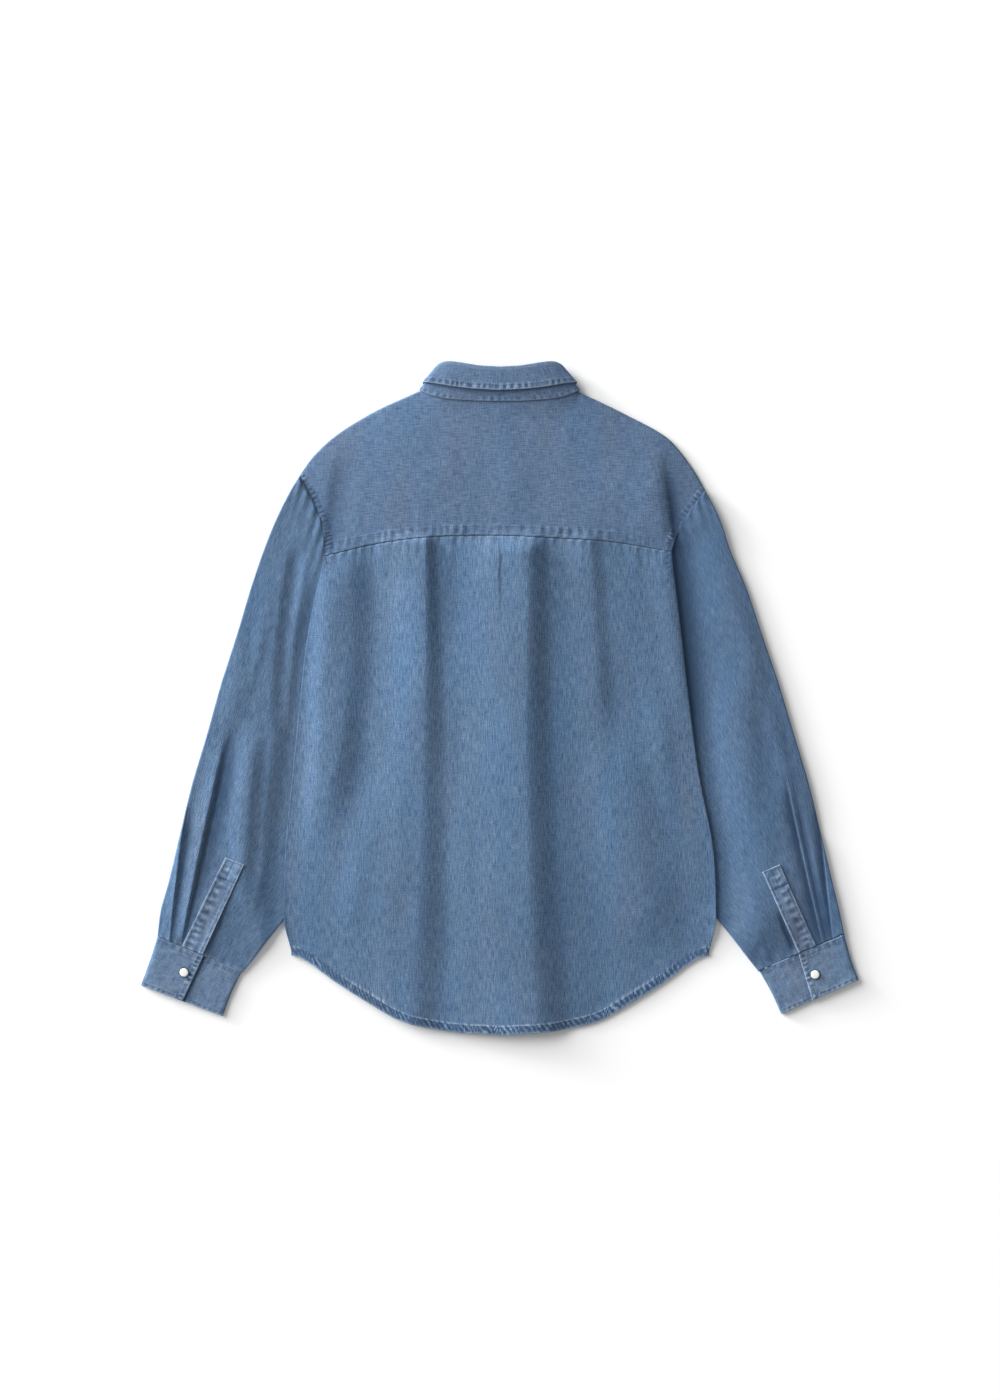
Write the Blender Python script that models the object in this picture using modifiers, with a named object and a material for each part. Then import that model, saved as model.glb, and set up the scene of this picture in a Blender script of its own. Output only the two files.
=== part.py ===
"""Denim shirt laid flat, face down.

The back and its yoke lie on top, the fronts lie on the floor, and both sleeves run down the
sides and tuck under the body. Every panel is one closed wall of cloth, and neighbouring panels
stop a seam gap apart. +X is the wearer's right, +Y the collar, +Z up; the floor is z = 0.

Tables and lengths are in millimetres. A panel's outer face is worked out as a height over the
plan, so that what lies on a panel can be made from the panel's own height, moved out.
"""

import math
from bisect import bisect_right
from collections import namedtuple

import bmesh
import bpy
from mathutils import Vector

MM = 0.001
LEFT, RIGHT = -1, 1

# ---- cloth and clearances -------------------------------------------------------------------
CLOTH = 1.1           # one layer of shirting, as it lies
CUFF_CLOTH = 1.3      # two fused layers
SEAM_GAP = 0.35       # between neighbouring panels
RIM_GAP = 0.7         # under a rolled edge, whose foot leans in
ARMHOLE_GAP = 0.5     # between a sleeve's head and the body,
ARMHOLE_GAP_FADE = 0.05  # over this part of the sleeve
HEAD_FADE = 6         # power with which the armhole's curve dies out down the sleeve
PLACKET_GAP = 0.6     # between a sleeve and the placket on it

# ---- heights over the floor -----------------------------------------------------------------
SLEEVE_UNDER = 3.6    # top of a sleeve where the body lies on it
SLEEVE_EDGE = 7.4     # top of a sleeve where it lies free, at its folded edges
SLEEVE_CROWN = 2.6    # more in the middle of the sleeve
SLEEVE_FOLD = 1.8     # height of the outermost line of a folded sleeve edge
ARMHOLE_TOP = 8.2     # top of yoke and sleeve where they are sewn together
FRONT_OVER_SLEEVE = 4.7
NECK_LIFT = 1.7       # a front's height over the collar leaves
BAND_LIFT = 1.7       # the band's height, on the caps of its snaps
LAP_LIFT = 3.3        # the left front's edge, over the band
SIDE_ROLL = 4.0       # radius of the body's side edges
LOFT, LOFT_REACH = 5.0, 55.0             # rise of the body from its sides to its middle
HEM_SHARE, HEM_REACH = 0.42, 70.0        # share of the body's height that is left at its hem,
HEM_SHARE_INSET = 60.0                   # from this far inside the side edges
FOLD_INSET = 30.0                        # folds have their full height this far inside
SHOULDER_ROLL, SHOULDER_REACH = 8.0, 45.0  # a short roll at the shoulder, then a long rise
SHOULDER_ROLL_SHARE = 0.55
CROWN_REACH = 26.0                       # from a sleeve's folded edge to its crown
FOLDS_AT_CUFF = 0.6                      # share of a pleat's height that is left at the cuff
CUFF_FADE = 60.0                         # over this length of sleeve
HOLLOW_ON_SLEEVE = 0.8
FAR = 1000.0                             # a distance past every reach

# ---- where the layers change --------------------------------------------------------------
ARMHOLE_SHARE = 0.70  # part of the armhole that the yoke takes, from the shoulder tip
HUG_FROM, HUG_OVER = 165.0, 40.0         # above this the sides no longer hang over the sleeves
UNDERARM_Y, UNDERARM_FADE = 122.0, 46.0
SLEEVE_OUT_Y, SLEEVE_OUT_FADE = -300.0, 42.0   # below this the body has no sleeve under it
SLEEVE_CLEARING = 34.0                   # width in which a sleeve rises from under the body,
SLEEVE_CLEARING_FROM = 5.0               # and where that begins, outside the body's edge
HEAD_FROM, HEAD_OVER = 150.0, 60.0       # where a sleeve rises to the armhole's height
FRONT_RAMP, FRONT_LEAD = 30.0, 12.0      # a front rises over a sleeve, done before its fold
BAND_RAMP_FROM, BAND_RAMP = 14.0, 22.0   # and sinks beside the band
NECK_OVAL = (118.0, 88.0)                # half widths of the oval round the neck
NECK_OVAL_Y, NECK_OVAL_FADE = 330.0, 0.28
NECK_SHARE = 0.32                        # columns of the yoke on each side of the neck
FRONT_NECK_SHARE = 0.38                  # columns of a front that end at the neck
NECK_TURN = 0.9                          # part of those before the turn to the neck point
YOKE_WIDTH = 400.0                       # over the shoulders, near enough
FRONT_INSET = 0.6                        # a front's side seam inside the body's rolled edge
FRONT_NECK_GAP = 0.65                    # between a front or the band and the stand
FRONT_ARMHOLE_FROM, FRONT_ARMHOLE_OVER = 84.0, 38.0   # a front's edge turns to the armhole
FRONT_EVEN_TO = 92.0                     # a front's rows are even up to here
FRONT_NECK_STRETCHES = 6                 # of the stand's points that a front shares
STEP_APART = 0.1                         # smallest difference between two collar steps

Side = namedtuple("Side", "y left right")
SIDES = (  # the body's side edges, from the middle line
    Side(-292, 239.5, 240.5),
    Side(-250, 248.0, 248.5),
    Side(-175, 246.0, 245.5),
    Side(-88, 238.0, 229.0),
    Side(5, 228.5, 216.5),
    Side(66, 221.5, 209.5),
    Side(121, 211.0, 203.0),
    Side(148, 204.0, 199.5),
    Side(170, 199.5, 197.3),
)

Curve = namedtuple("Curve", "across y")
HEM = (  # shirt-tail hem, from the middle to a side seam
    Curve(0.00, -388.0),
    Curve(0.30, -382.0),
    Curve(0.48, -370.3),
    Curve(0.65, -347.3),
    Curve(0.80, -324.3),
    Curve(0.93, -302.5),
    Curve(1.00, -292.0),
)
YOKE_SEAM = (
    Curve(-1.00, 163.5),
    Curve(-0.76, 175.3),
    Curve(-0.39, 185.2),
    Curve(0.00, 187.0),
    Curve(0.28, 184.5),
    Curve(0.66, 179.4),
    Curve(1.00, 168.5),
)

Pair = namedtuple("Pair", "part left_x left_y right_x right_y")
ARMHOLE = (  # from the shoulder tip to the underarm
    Pair(0.00, 231.5, 254.0, 236.8, 238.0),
    Pair(0.25, 216.0, 228.0, 221.0, 216.5),
    Pair(0.50, 203.5, 197.0, 206.0, 193.5),
    Pair(0.70, 200.5, 163.5, 197.5, 168.5),
    Pair(1.00, 189.0, 122.0, 187.0, 122.0),
)
SHOULDER = (  # from the shoulder tip to the neck
    Pair(0.00, 231.5, 254.0, 236.8, 238.0),
    Pair(0.25, 213.0, 279.0, 219.0, 267.7),
    Pair(0.50, 186.0, 303.3, 192.0, 299.2),
    Pair(0.75, 145.0, 328.4, 148.0, 324.2),
    Pair(1.00, 93.5, 352.0, 91.0, 351.5),
)

Edge = namedtuple("Edge", "y left right")
SLEEVE_OUTER = (  # outer fold of a sleeve, from the cuff up
    Edge(-273.6, 393.4, 396.4),
    Edge(-243.8, 389.6, 390.1),
    Edge(-215.0, 381.5, 383.2),
    Edge(-157.5, 367.7, 369.4),
    Edge(-100.0, 353.9, 355.6),
    Edge(-42.5, 336.7, 338.4),
    Edge(15.0, 320.6, 321.1),
    Edge(72.5, 302.2, 301.6),
    Edge(130.0, 284.9, 282.0),
    Edge(170.0, 271.2, 264.9),
    Edge(204.7, 257.3, 253.3),
    Edge(238.0, 240.6, 236.8),
    Edge(254.0, 231.5, 228.0),
)
SLEEVE_INNER = (  # inner fold, tucked under the body above the hem corner
    Edge(-316.0, 291.0, 292.5),
    Edge(-295.6, 279.2, 281.5),
    Edge(-278.3, 266.5, 269.4),
    Edge(-261.0, 252.7, 255.6),
    Edge(-219.0, 222.0, 224.0),
    Edge(-163.0, 194.0, 195.0),
    Edge(-106.0, 181.0, 181.0),
    Edge(-50.0, 179.0, 178.0),
    Edge(9.0, 184.0, 181.0),
    Edge(67.0, 190.0, 187.0),
    Edge(98.0, 191.0, 188.5),
    Edge(122.0, 189.0, 187.0),
)

Section = namedtuple("Section", "part outer_left outer_right inner_left inner_right")
SLEEVE_SECTIONS = (  # heights on the plan of each section's two ends, armhole to cuff
    Section(0.00, 254.0, 238.0, 122.0, 122.0),
    Section(0.08, 234.0, 222.0, 92.0, 92.0),
    Section(0.16, 205.0, 196.0, 62.0, 62.0),
    Section(0.24, 170.0, 164.0, 25.0, 25.0),
    Section(0.33, 130.0, 127.0, -15.0, -15.0),
    Section(0.43, 72.5, 72.5, -60.0, -60.0),
    Section(0.53, 15.0, 15.0, -106.0, -106.0),
    Section(0.63, -42.5, -42.5, -148.0, -148.0),
    Section(0.73, -100.0, -100.0, -188.0, -188.0),
    Section(0.83, -157.5, -157.5, -228.0, -228.0),
    Section(0.92, -215.0, -215.0, -271.0, -270.0),
    Section(1.00, -273.2, -270.8, -315.4, -314.2),
)

CUFF_TOP = 5.9        # outer face of the overlap
CUFF_UNDER = 4.1      # outer face beside and beneath it
CUFF_SWELL = 0.3      # more between the overlap and the inner fold
CUFF_DIP = 4.0        # distance from the overlap's edge in which that is gone
CUFF_FOLD = 2.6       # height of the outermost line of the outer fold
CUFF_UNDERLAP = 22.0
CUFF_ROLL = (-90, -60, -30, 0, 30, 60, 90)
CUFF_LAP_SHARES = (1.0, 0.66, 0.33)
CUFF_BOTTOM_SHARES = (0.25, 0.5, 0.75)
CUFF_TOP_SHARES = (0.35, 0.7)

Patch = namedtuple("Patch", "top_outer top_inner bottom_outer bottom_inner")
CUFFS = {
    LEFT: Patch((393.3, -274.0), (296.4, -314.0), (412.45, -330.0), (318.3, -365.7)),
    RIGHT: Patch((395.9, -271.4), (297.8, -312.7), (412.45, -323.6), (323.4, -363.1)),
}
PLACKETS = {
    LEFT: Patch((314.8, -182.9), (292.9, -190.9), (364.8, -284.8), (341.0, -294.6)),
    RIGHT: Patch((321.1, -190.9), (301.1, -199.5), (363.0, -284.3), (343.0, -292.5)),
}
CUFF_LAP = {LEFT: (0.55, 0.51), RIGHT: (0.54, 0.60)}   # the overlap's edge, at top and bottom
CUFF_SNAPS = {LEFT: (362.4, -315.1), RIGHT: (362.0, -317.4)}

Fold = namedtuple("Fold", "x y end_x end_y bow left right flare height begin finish")
BODY_FOLDS = (  # ridge lines from top to bottom, steep to the right
    Fold(-198, 166, -216, -200, 6, 30, 55, 0.9, 4.0, 0.10, 0.25),
    Fold(-91, 200, -104, -400, -14, 44, 32, 1.7, 5.0, 0.12, 0.02),
    Fold(17, 204, 33, -400, 8, 55, 44, 1.9, 7.0, 0.12, 0.02),
    Fold(99, 205, 114, -60, 0, 30, 22, 1.4, 2.6, 0.14, 0.30),
    Fold(118, -20, 176, -300, 0, 50, 55, 1.1, 4.2, 0.30, 0.20),
    Fold(-26, 192, -24, 110, 0, 10, 9, 1.2, 1.2, 0.10, 0.60),
)
HOLLOWS = (  # creases where yoke and sleeve heads sag beside the armholes
    Fold(-192, 252, -208, 120, 3, 10, 9, 1.0, -2.6, 0.25, 0.30),
    Fold(186, 286, 199, 150, -2, 12, 10, 1.0, -3.0, 0.45, 0.10),
)
SLEEVE_FOLDS = {
    LEFT: (
        Fold(-256, 190, -270, -40, -3, 20, 19, 1.0, 3.2, 0.15, 0.25),
        Fold(-279, -20, -294, -250, -5, 24, 20, 1.0, 3.0, 0.25, 0.20),
        Fold(-316, -25, -371, -292, -3, 17, 6, 0.9, 3.0, 0.30, 0.12),
        Fold(-351, -110, -382, -292, -2, 12, 5, 1.0, 2.4, 0.35, 0.12),
    ),
    RIGHT: (
        Fold(248, 60, 266, -200, 4, 22, 48, 1.0, 3.4, 0.35, 0.35),
        Fold(317, -118, 373, -292, -3, 18, 6, 0.9, 3.0, 0.35, 0.12),
        Fold(346, -100, 387, -292, -2, 13, 5, 1.0, 2.4, 0.35, 0.12),
    ),
}

BODY_ROLL = (0, 32, 60, 90)      # angles of the points on a rolled side edge
SLEEVE_ROLL = (-45, 0, 30, 60)
COLLAR_ROLL = (-90, -45, 0, 45, 90)
LEAF_SHARES = (0.3, 0.6, 0.85, 1.0)
SLEEVE_BOTTOM = 6                # stretches across a sleeve's lower wall
YOKE_ROWS = (0.0, 0.16, 0.32, 0.48, 0.64, 0.78, 0.89, 0.95, 0.978, 0.994, 1.0)
SHARP = 50                       # degrees between faces that meet at an edge

# ---- collar: half the neck loop, from the centre back round to the centre front ---------------
Loop = namedtuple("Loop", "step seam_x seam_y roll_x roll_y seam_z roll_z edge_x edge_y flare")
COLLAR = (
    Loop(0.0, 0.0, 340.2, 0.0, 381.8, 13.0, 15.5, 0.0, 353.0, 1.8),
    Loop(1.0, 32.0, 341.0, 24.0, 383.2, 12.8, 15.3, 31.0, 354.6, 1.4),
    Loop(2.0, 60.0, 343.2, 45.0, 386.6, 12.0, 14.6, 58.0, 358.0, 0.8),
    Loop(3.0, 80.0, 347.9, 60.0, 388.0, 10.4, 12.6, 76.0, 361.0, 0.7),
    Loop(3.5, 89.0, 351.8, 67.0, 386.0, 8.8, 10.4, 83.5, 361.6, 1.0),
    Loop(4.0, 92.5, 354.2, 70.0, 382.6, 6.2, 7.2, 86.5, 360.6, 1.3),
    Loop(4.5, 91.0, 352.0, 69.0, 377.8, 3.4, 3.9, 86.8, 357.0, 0.8),
    Loop(5.0, 84.5, 337.4, 65.0, 369.5, 1.9, 2.0, 88.0, 341.0, 0.0),
    Loop(6.0, 62.0, 310.8, 51.0, 344.0, 1.7, 1.7, 84.0, 305.0, 0.0),
    Loop(7.0, 32.0, 285.8, 32.0, 321.0, 1.7, 1.7, 70.0, 278.0, 0.0),
    Loop(8.0, 0.0, 276.6, 17.0, 311.0, 1.7, 1.7, 55.0, 258.0, 0.0),
)
BACK_NECK_STEP, FRONT_NECK_STEP = 3.4, 5.0   # where the neck seam leaves yoke and front
STAND_LAP = 10.0      # each end of the stand past the centre front
STAND_LAP_LIFT, STAND_LAP_RAMP = 1.6, 6.0
STAND_FRONT_DROP = 10.0  # its top edge falls towards the centre front
FALL_OVER = 1.6       # the fall's outer face over the stand's
ROLL_RADIUS = (FALL_OVER + CLOTH) / 2
FALL_RISE = 4.0       # from the stand's top seam to where the fall begins to turn
STAND_GAP = 1.5       # between the stand's top and the fall, where both fold over

# ---- band and snaps -------------------------------------------------------------------------
BAND_HALF = 17.5
LEFT_FRONT_LAP = 12.0  # the left front's edge, past the centre line
FIRST_STEP_WIDTH = 34.0  # of the collar's last step before the centre front
FRONT_HEM_UP = 3.0     # the fronts' hem is this much shorter than the back's
SNAP_RADIUS = 5.2
CUFF_SNAP_HEIGHT = 2.2
FRONT_SNAP_HEIGHT = 1.3
FRONT_SNAPS = 6
FRONT_SNAP_TOP, FRONT_SNAP_PITCH = 222.0, 92.0
STAND_SNAP_Y = 286.0
SNAP_STEPS = 16
Dome = namedtuple("Dome", "radius rise")
SNAP_DOME = (  # shares of a snap's radius and height, from the crown to the foot
    Dome(0.0, 1.0),
    Dome(0.45, 0.96),
    Dome(0.78, 0.80),
    Dome(0.93, 0.58),
    Dome(1.0, 0.30),
    Dome(1.0, 0.0),
    Dome(0.0, 0.0),
)


# ---- small helpers --------------------------------------------------------------------------
def ramp(value):
    """0 to 1 with soft ends."""
    value = min(1.0, max(0.0, value))
    return value * value * (3 - 2 * value)


def mix(first, second, share):
    return first + (second - first) * share


def slope(rows, index, column):
    """Slope of a column at a row: none at a peak, so that curves don't overshoot."""
    last = len(rows) - 1
    low, high = max(index - 1, 0), min(index + 1, last)
    before = (rows[index][column] - rows[low][column]) / max(rows[index][0] - rows[low][0], 1e-9)
    after = (rows[high][column] - rows[index][column]) / max(rows[high][0] - rows[index][0], 1e-9)
    if index == 0:
        return after
    if index == last:
        return before
    if before * after <= 0:
        return 0.0
    width_before = rows[index][0] - rows[low][0]
    width_after = rows[high][0] - rows[index][0]
    mean = (before * width_after + after * width_before) / (width_before + width_after)
    steepest = 3 * min(abs(before), abs(after))
    return max(-steepest, min(steepest, mean))


def at(rows, key):
    """The row at a value of the first column, on smooth curves through the rows."""
    keys = [row[0] for row in rows]
    if key <= keys[0]:
        return rows[0]
    if key >= keys[-1]:
        return rows[-1]
    index = bisect_right(keys, key) - 1
    span = keys[index + 1] - keys[index]
    part = (key - keys[index]) / span
    values = []
    for column in range(len(rows[0])):
        start, end = rows[index][column], rows[index + 1][column]
        start_slope = slope(rows, index, column) * span
        end_slope = slope(rows, index + 1, column) * span
        rise = ramp(part)
        bend = part * (1 - part)
        values.append(mix(start, end, rise) + bend * ((1 - part) * start_slope - part * end_slope))
    return type(rows[0])(*values)


def rolled(distance, radius):
    """0 to 1 up a rounded edge, standing upright at its foot."""
    inside = 1 - min(distance / radius, 1.0)
    return math.sqrt(max(0.0, 1 - inside * inside))


def reach(distance, length):
    """0 to 1, rising fast and then slowly."""
    return 1 - math.exp(-max(distance, 0.0) / length)


def pick(row, side):
    return row.left if side == LEFT else row.right


def pick_pair(row, side):
    """A signed point of a Pair table."""
    if side == LEFT:
        return Vector((-row.left_x, row.left_y))
    return Vector((row.right_x, row.right_y))


# ---- folds and heights ----------------------------------------------------------------------
def fold_height(fold, x, y):
    run_x, run_y = fold.end_x - fold.x, fold.end_y - fold.y
    length = math.hypot(run_x, run_y)
    along = ((x - fold.x) * run_x + (y - fold.y) * run_y) / (length * length)
    if not 0 < along < 1:
        return 0.0
    across = ((y - fold.y) * run_x - (x - fold.x) * run_y) / length
    across -= fold.bow * 4 * along * (1 - along)
    width = (fold.right if across > 0 else fold.left) * mix(1.0, fold.flare, along)
    if abs(across) >= width:
        return 0.0
    ends = ramp(along / fold.begin) * ramp((1 - along) / fold.finish)
    return fold.height * ends * (0.5 + 0.5 * math.cos(math.pi * across / width))


def relief(folds, x, y):
    return sum(fold_height(fold, x, y) for fold in folds)


def side_edge(side, y):
    return pick(at(SIDES, y), side)


def body_x(across, y):
    row = at(SIDES, y)
    return (row.right - row.left) / 2 + across * (row.right + row.left) / 2


def sleeve_below(y):
    """1 where a sleeve lies under the body's side, 0 under the hem corners."""
    return ramp((y - SLEEVE_OUT_Y) / SLEEVE_OUT_FADE)


def neck_lift(x, y):
    """The fronts ride over the collar leaves in an oval round the neck."""
    oval = math.hypot(x / NECK_OVAL[0], (y - NECK_OVAL_Y) / NECK_OVAL[1])
    return NECK_LIFT * (1 - ramp((oval - 1.0) / NECK_OVAL_FADE))


def side_rim(y):
    """Foot of the body's rolled side edge, a gap over the front's margin."""
    return CLOTH + RIM_GAP + FRONT_OVER_SLEEVE * sleeve_below(y)


def body_height(x, y, from_side, from_shoulder, from_hem):
    """Outer face of back and yoke. The last three are distances from their edges."""
    hug = 1 - ramp((y - HUG_FROM) / HUG_OVER)
    edge = mix(ARMHOLE_TOP, side_rim(y), hug)
    height = edge + SIDE_ROLL * hug * rolled(from_side, SIDE_ROLL)
    height += LOFT * reach(from_side, LOFT_REACH)
    foot = CLOTH + RIM_GAP
    share = mix(HEM_SHARE, 1.0, reach(from_hem, HEM_REACH))
    height = foot + (height - foot) * mix(1.0, share, rolled(from_side, HEM_SHARE_INSET))
    height += relief(BODY_FOLDS, x, y) * rolled(from_side, FOLD_INSET)
    height += relief(HOLLOWS, x, y) * (1 - hug)
    rim = foot + neck_lift(x, y)
    share = mix(reach(from_shoulder, SHOULDER_REACH), rolled(from_shoulder, SHOULDER_ROLL),
                SHOULDER_ROLL_SHARE)
    return rim + (height - rim) * share


def cuff_distance(side, x, y):
    """Distance from the line of the cuff's top edge."""
    cuff = CUFFS[side]
    outer, inner = Vector(cuff.top_outer), Vector(cuff.top_inner)
    run = (inner - outer).normalized()
    offset = Vector((side * x, y)) - outer
    return abs(run.x * offset.y - run.y * offset.x)


def sleeve_height(side, x, y):
    """Outer face of a sleeve's upper wall."""
    out = side * x
    clear = ramp((out - side_edge(side, y) - SLEEVE_CLEARING_FROM) / SLEEVE_CLEARING)
    clear = max(clear, ramp((y - HUG_FROM) / HUG_OVER))
    outline = pick(at(SLEEVE_OUTER, y), side)
    free = SLEEVE_EDGE + SLEEVE_CROWN * reach(outline - out, CROWN_REACH)
    free = mix(free, ARMHOLE_TOP, ramp((y - HEAD_FROM) / HEAD_OVER))
    folds = relief(SLEEVE_FOLDS[side], x, y)
    up_sleeve = ramp(cuff_distance(side, x, y) / CUFF_FADE)
    free = mix(CUFF_TOP + folds * FOLDS_AT_CUFF, free + folds, up_sleeve)
    free += relief(HOLLOWS, x, y) * HOLLOW_ON_SLEEVE
    return mix(SLEEVE_UNDER, free, clear)


def front_height(side, x, y):
    """Lower (outer) face of a front panel."""
    out = side * x
    inner = pick(at(SLEEVE_INNER, y), side)
    over = ramp((out - inner + FRONT_RAMP + FRONT_LEAD) / FRONT_RAMP)
    over *= sleeve_below(y) * (1 - ramp((y - UNDERARM_Y) / UNDERARM_FADE))
    band = BAND_LIFT if side == RIGHT else LAP_LIFT
    band *= 1 - ramp((out - BAND_HALF - BAND_RAMP_FROM) / BAND_RAMP)
    return max(FRONT_OVER_SLEEVE * over, neck_lift(x, y), band)


# ---- plans of the panels --------------------------------------------------------------------
def hem_y(across):
    return at(HEM, abs(across)).y


def back_point(across, up):
    top = at(YOKE_SEAM, across).y - SEAM_GAP / 2
    low = hem_y(across)
    y = mix(low, top, up)
    x = body_x(across, y)
    from_side = (1 - abs(across)) * (body_x(1, y) - body_x(-1, y)) / 2
    return x, y, body_height(x, y, from_side, FAR, y - low)


def yoke_top(across):
    """A point of the yoke's upper edge: shoulder, neck, shoulder."""
    column = (across + 1) / 2
    if column < NECK_SHARE:
        return pick_pair(at(SHOULDER, column / NECK_SHARE), LEFT)
    if column > 1 - NECK_SHARE:
        return pick_pair(at(SHOULDER, (1 - column) / NECK_SHARE), RIGHT)
    part = abs(across) / (1 - 2 * NECK_SHARE)
    side = LEFT if across < 0 else RIGHT
    seam = at(COLLAR, BACK_NECK_STEP * min(1.0, part / NECK_TURN))
    spot = Vector((side * seam.seam_x, seam.seam_y - SEAM_GAP))
    return spot.lerp(pick_pair(SHOULDER[-1], side), max(0.0, part - NECK_TURN) / (1 - NECK_TURN))


def yoke_point(across, up):
    seam = at(YOKE_SEAM, across).y + SEAM_GAP / 2
    foot, top = Vector((body_x(across, seam), seam)), yoke_top(across)
    spot = foot.lerp(top, up)
    side = LEFT if across < 0 else RIGHT
    column = (1 - abs(across)) / 2
    near_side = max(0.0, 1 - column / NECK_SHARE)
    corner, tip = pick_pair(at(ARMHOLE, ARMHOLE_SHARE), side), pick_pair(ARMHOLE[0], side)
    armhole = pick_pair(at(ARMHOLE, ARMHOLE_SHARE * (1 - up)), side)
    spot += (armhole - corner.lerp(tip, up)) * near_side
    length = (top - foot).length
    over_neck = max(0.0, column - NECK_SHARE) * YOKE_WIDTH
    from_shoulder = math.hypot((1 - up) * length, over_neck)
    return spot.x, spot.y, body_height(spot.x, spot.y, column * YOKE_WIDTH, from_shoulder, FAR)


def front_outer(side, up):
    """A front's outer edge: side seam, then armhole up to the shoulder tip."""
    tip = pick_pair(ARMHOLE[0], side)
    y = mix(HEM[-1].y + FRONT_HEM_UP, tip.y, up)
    seam = side_edge(side, y) - FRONT_INSET
    armhole_rows = [Edge(pick_pair(row, side).y, abs(pick_pair(row, side).x), 0) for row in ARMHOLE]
    armhole = at(armhole_rows[::-1], y).left
    turned = ramp((y - FRONT_ARMHOLE_FROM) / FRONT_ARMHOLE_OVER)
    return Vector((side * mix(seam, armhole, turned), y))


def front_inner_x(side):
    return BAND_HALF + SEAM_GAP if side == RIGHT else -LEFT_FRONT_LAP


def front_first_step(side):
    """The collar step at which a front's neck edge begins."""
    return COLLAR[-1].step - front_inner_x(side) / FIRST_STEP_WIDTH


def front_columns(side, count):
    """Columns that share the stand's points along the neck, then even ones."""
    first = front_first_step(side)
    stand_steps = even(FRONT_NECK_STRETCHES, COLLAR[-1].step, FRONT_NECK_STEP)
    steps = [first] + [step for step in stand_steps if step < first - STEP_APART]
    reach_of = FRONT_NECK_SHARE * NECK_TURN / (first - FRONT_NECK_STEP)
    return [(first - step) * reach_of for step in steps] + even(count, FRONT_NECK_SHARE, 1.0)


def front_rows(side, count):
    """Even rows up to the underarm, then rows that share the sleeve's points on the armhole."""
    low, high = HEM[-1].y + FRONT_HEM_UP, ARMHOLE[0].left_y if side == LEFT else ARMHOLE[0].right_y
    outer, inner = sleeve_ends(side, 0)
    fold = SLEEVE_FOLD / (inner - outer).length
    shares = [mix(1 - fold, fold, part) for part in even(SLEEVE_BOTTOM)]
    armhole = [pick_pair(at(ARMHOLE, share), side).y for share in shares]
    heights = even(count, low, FRONT_EVEN_TO) + armhole + [high]
    return [(y - low) / (high - low) for y in heights]


def front_point(side, across, up):
    """across runs from the centre front (0) to the side seam (1)."""
    inner_x = front_inner_x(side)

    def lower(share):
        width = side_edge(side, HEM[-1].y)
        x = mix(inner_x, width - FRONT_INSET, share)
        return Vector((side * x, hem_y(x / width) + FRONT_HEM_UP))

    def upper(share):
        if share > FRONT_NECK_SHARE:
            part = (share - FRONT_NECK_SHARE) / (1 - FRONT_NECK_SHARE)
            return pick_pair(at(SHOULDER, 1 - part), side)
        part = share / FRONT_NECK_SHARE
        step = mix(front_first_step(side), FRONT_NECK_STEP, min(1.0, part / NECK_TURN))
        seam = at(COLLAR, step)
        x = seam.seam_x if part > 0 else inner_x
        spot = Vector((side * x, seam.seam_y - FRONT_NECK_GAP))
        turn = max(0.0, part - NECK_TURN) / (1 - NECK_TURN)
        return spot.lerp(pick_pair(SHOULDER[-1], side), turn)

    def inner(share):
        return Vector((side * inner_x, mix(lower(0).y, upper(0).y, share)))

    spot = lower(across).lerp(upper(across), up) + inner(up).lerp(front_outer(side, up), across)
    flat = inner(0).lerp(front_outer(side, 0), across)
    spot -= flat.lerp(inner(1).lerp(front_outer(side, 1), across), up)
    return spot.x, spot.y, front_height(side, spot.x, spot.y)


# ---- mesh building --------------------------------------------------------------------------
def cloth(name, columns, rows, point, color, collection, wall=CLOTH, outward=-1, flip=False, tube=False):
    """A grid of cloth put through point(column, row), given its wall by Solidify.

    outward is -1 where the points are the outer face, 1 where the wall grows along the normals.
    """
    bm = bmesh.new()
    bmesh.ops.create_grid(bm, x_segments=len(columns) - 1, y_segments=len(rows) - 1, size=1)
    bm.verts.ensure_lookup_table()
    for number, vert in enumerate(bm.verts):
        row, column = divmod(number, len(columns))
        vert.co = Vector(point(columns[column], rows[row])) * MM
    if tube:
        bmesh.ops.remove_doubles(bm, verts=bm.verts, dist=0.00001)
    if flip:
        bmesh.ops.reverse_faces(bm, faces=bm.faces)
    mesh = bpy.data.meshes.new(name)
    bm.to_mesh(mesh)
    bm.free()
    mesh.shade_smooth()
    mesh.set_sharp_from_angle(angle=math.radians(SHARP))
    mesh.materials.append(color)
    piece = bpy.data.objects.new(name, mesh)
    collection.objects.link(piece)
    solidify = piece.modifiers.new("Wall", "SOLIDIFY")
    solidify.thickness = wall * MM
    solidify.offset = outward
    return piece


def even(count, low=0.0, high=1.0):
    return [mix(low, high, number / count) for number in range(count + 1)]


def body_columns(count):
    """Even columns with three more in each rolled side edge."""
    half = SIDES[0].left
    edge = [1 - SIDE_ROLL * (1 - math.cos(math.radians(angle))) / half for angle in BODY_ROLL]
    inside = even(count, -edge[-1], edge[-1])
    return [-value for value in edge[:-1]] + inside + edge[-2::-1]


# ---- sleeves --------------------------------------------------------------------------------
def ring_steps(top_count, bottom_count):
    """Stations round a flattened sleeve: (which stretch, angle or share), outer edge first."""
    outer = [("outer", angle) for angle in SLEEVE_ROLL]
    top = [("top", share) for share in even(top_count)]
    inner = [("inner", angle) for angle in SLEEVE_ROLL[::-1]]
    bottom = [("bottom", share) for share in even(bottom_count, 1.0, 0.0)]
    return outer + top + inner + bottom + outer[:1]


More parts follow.
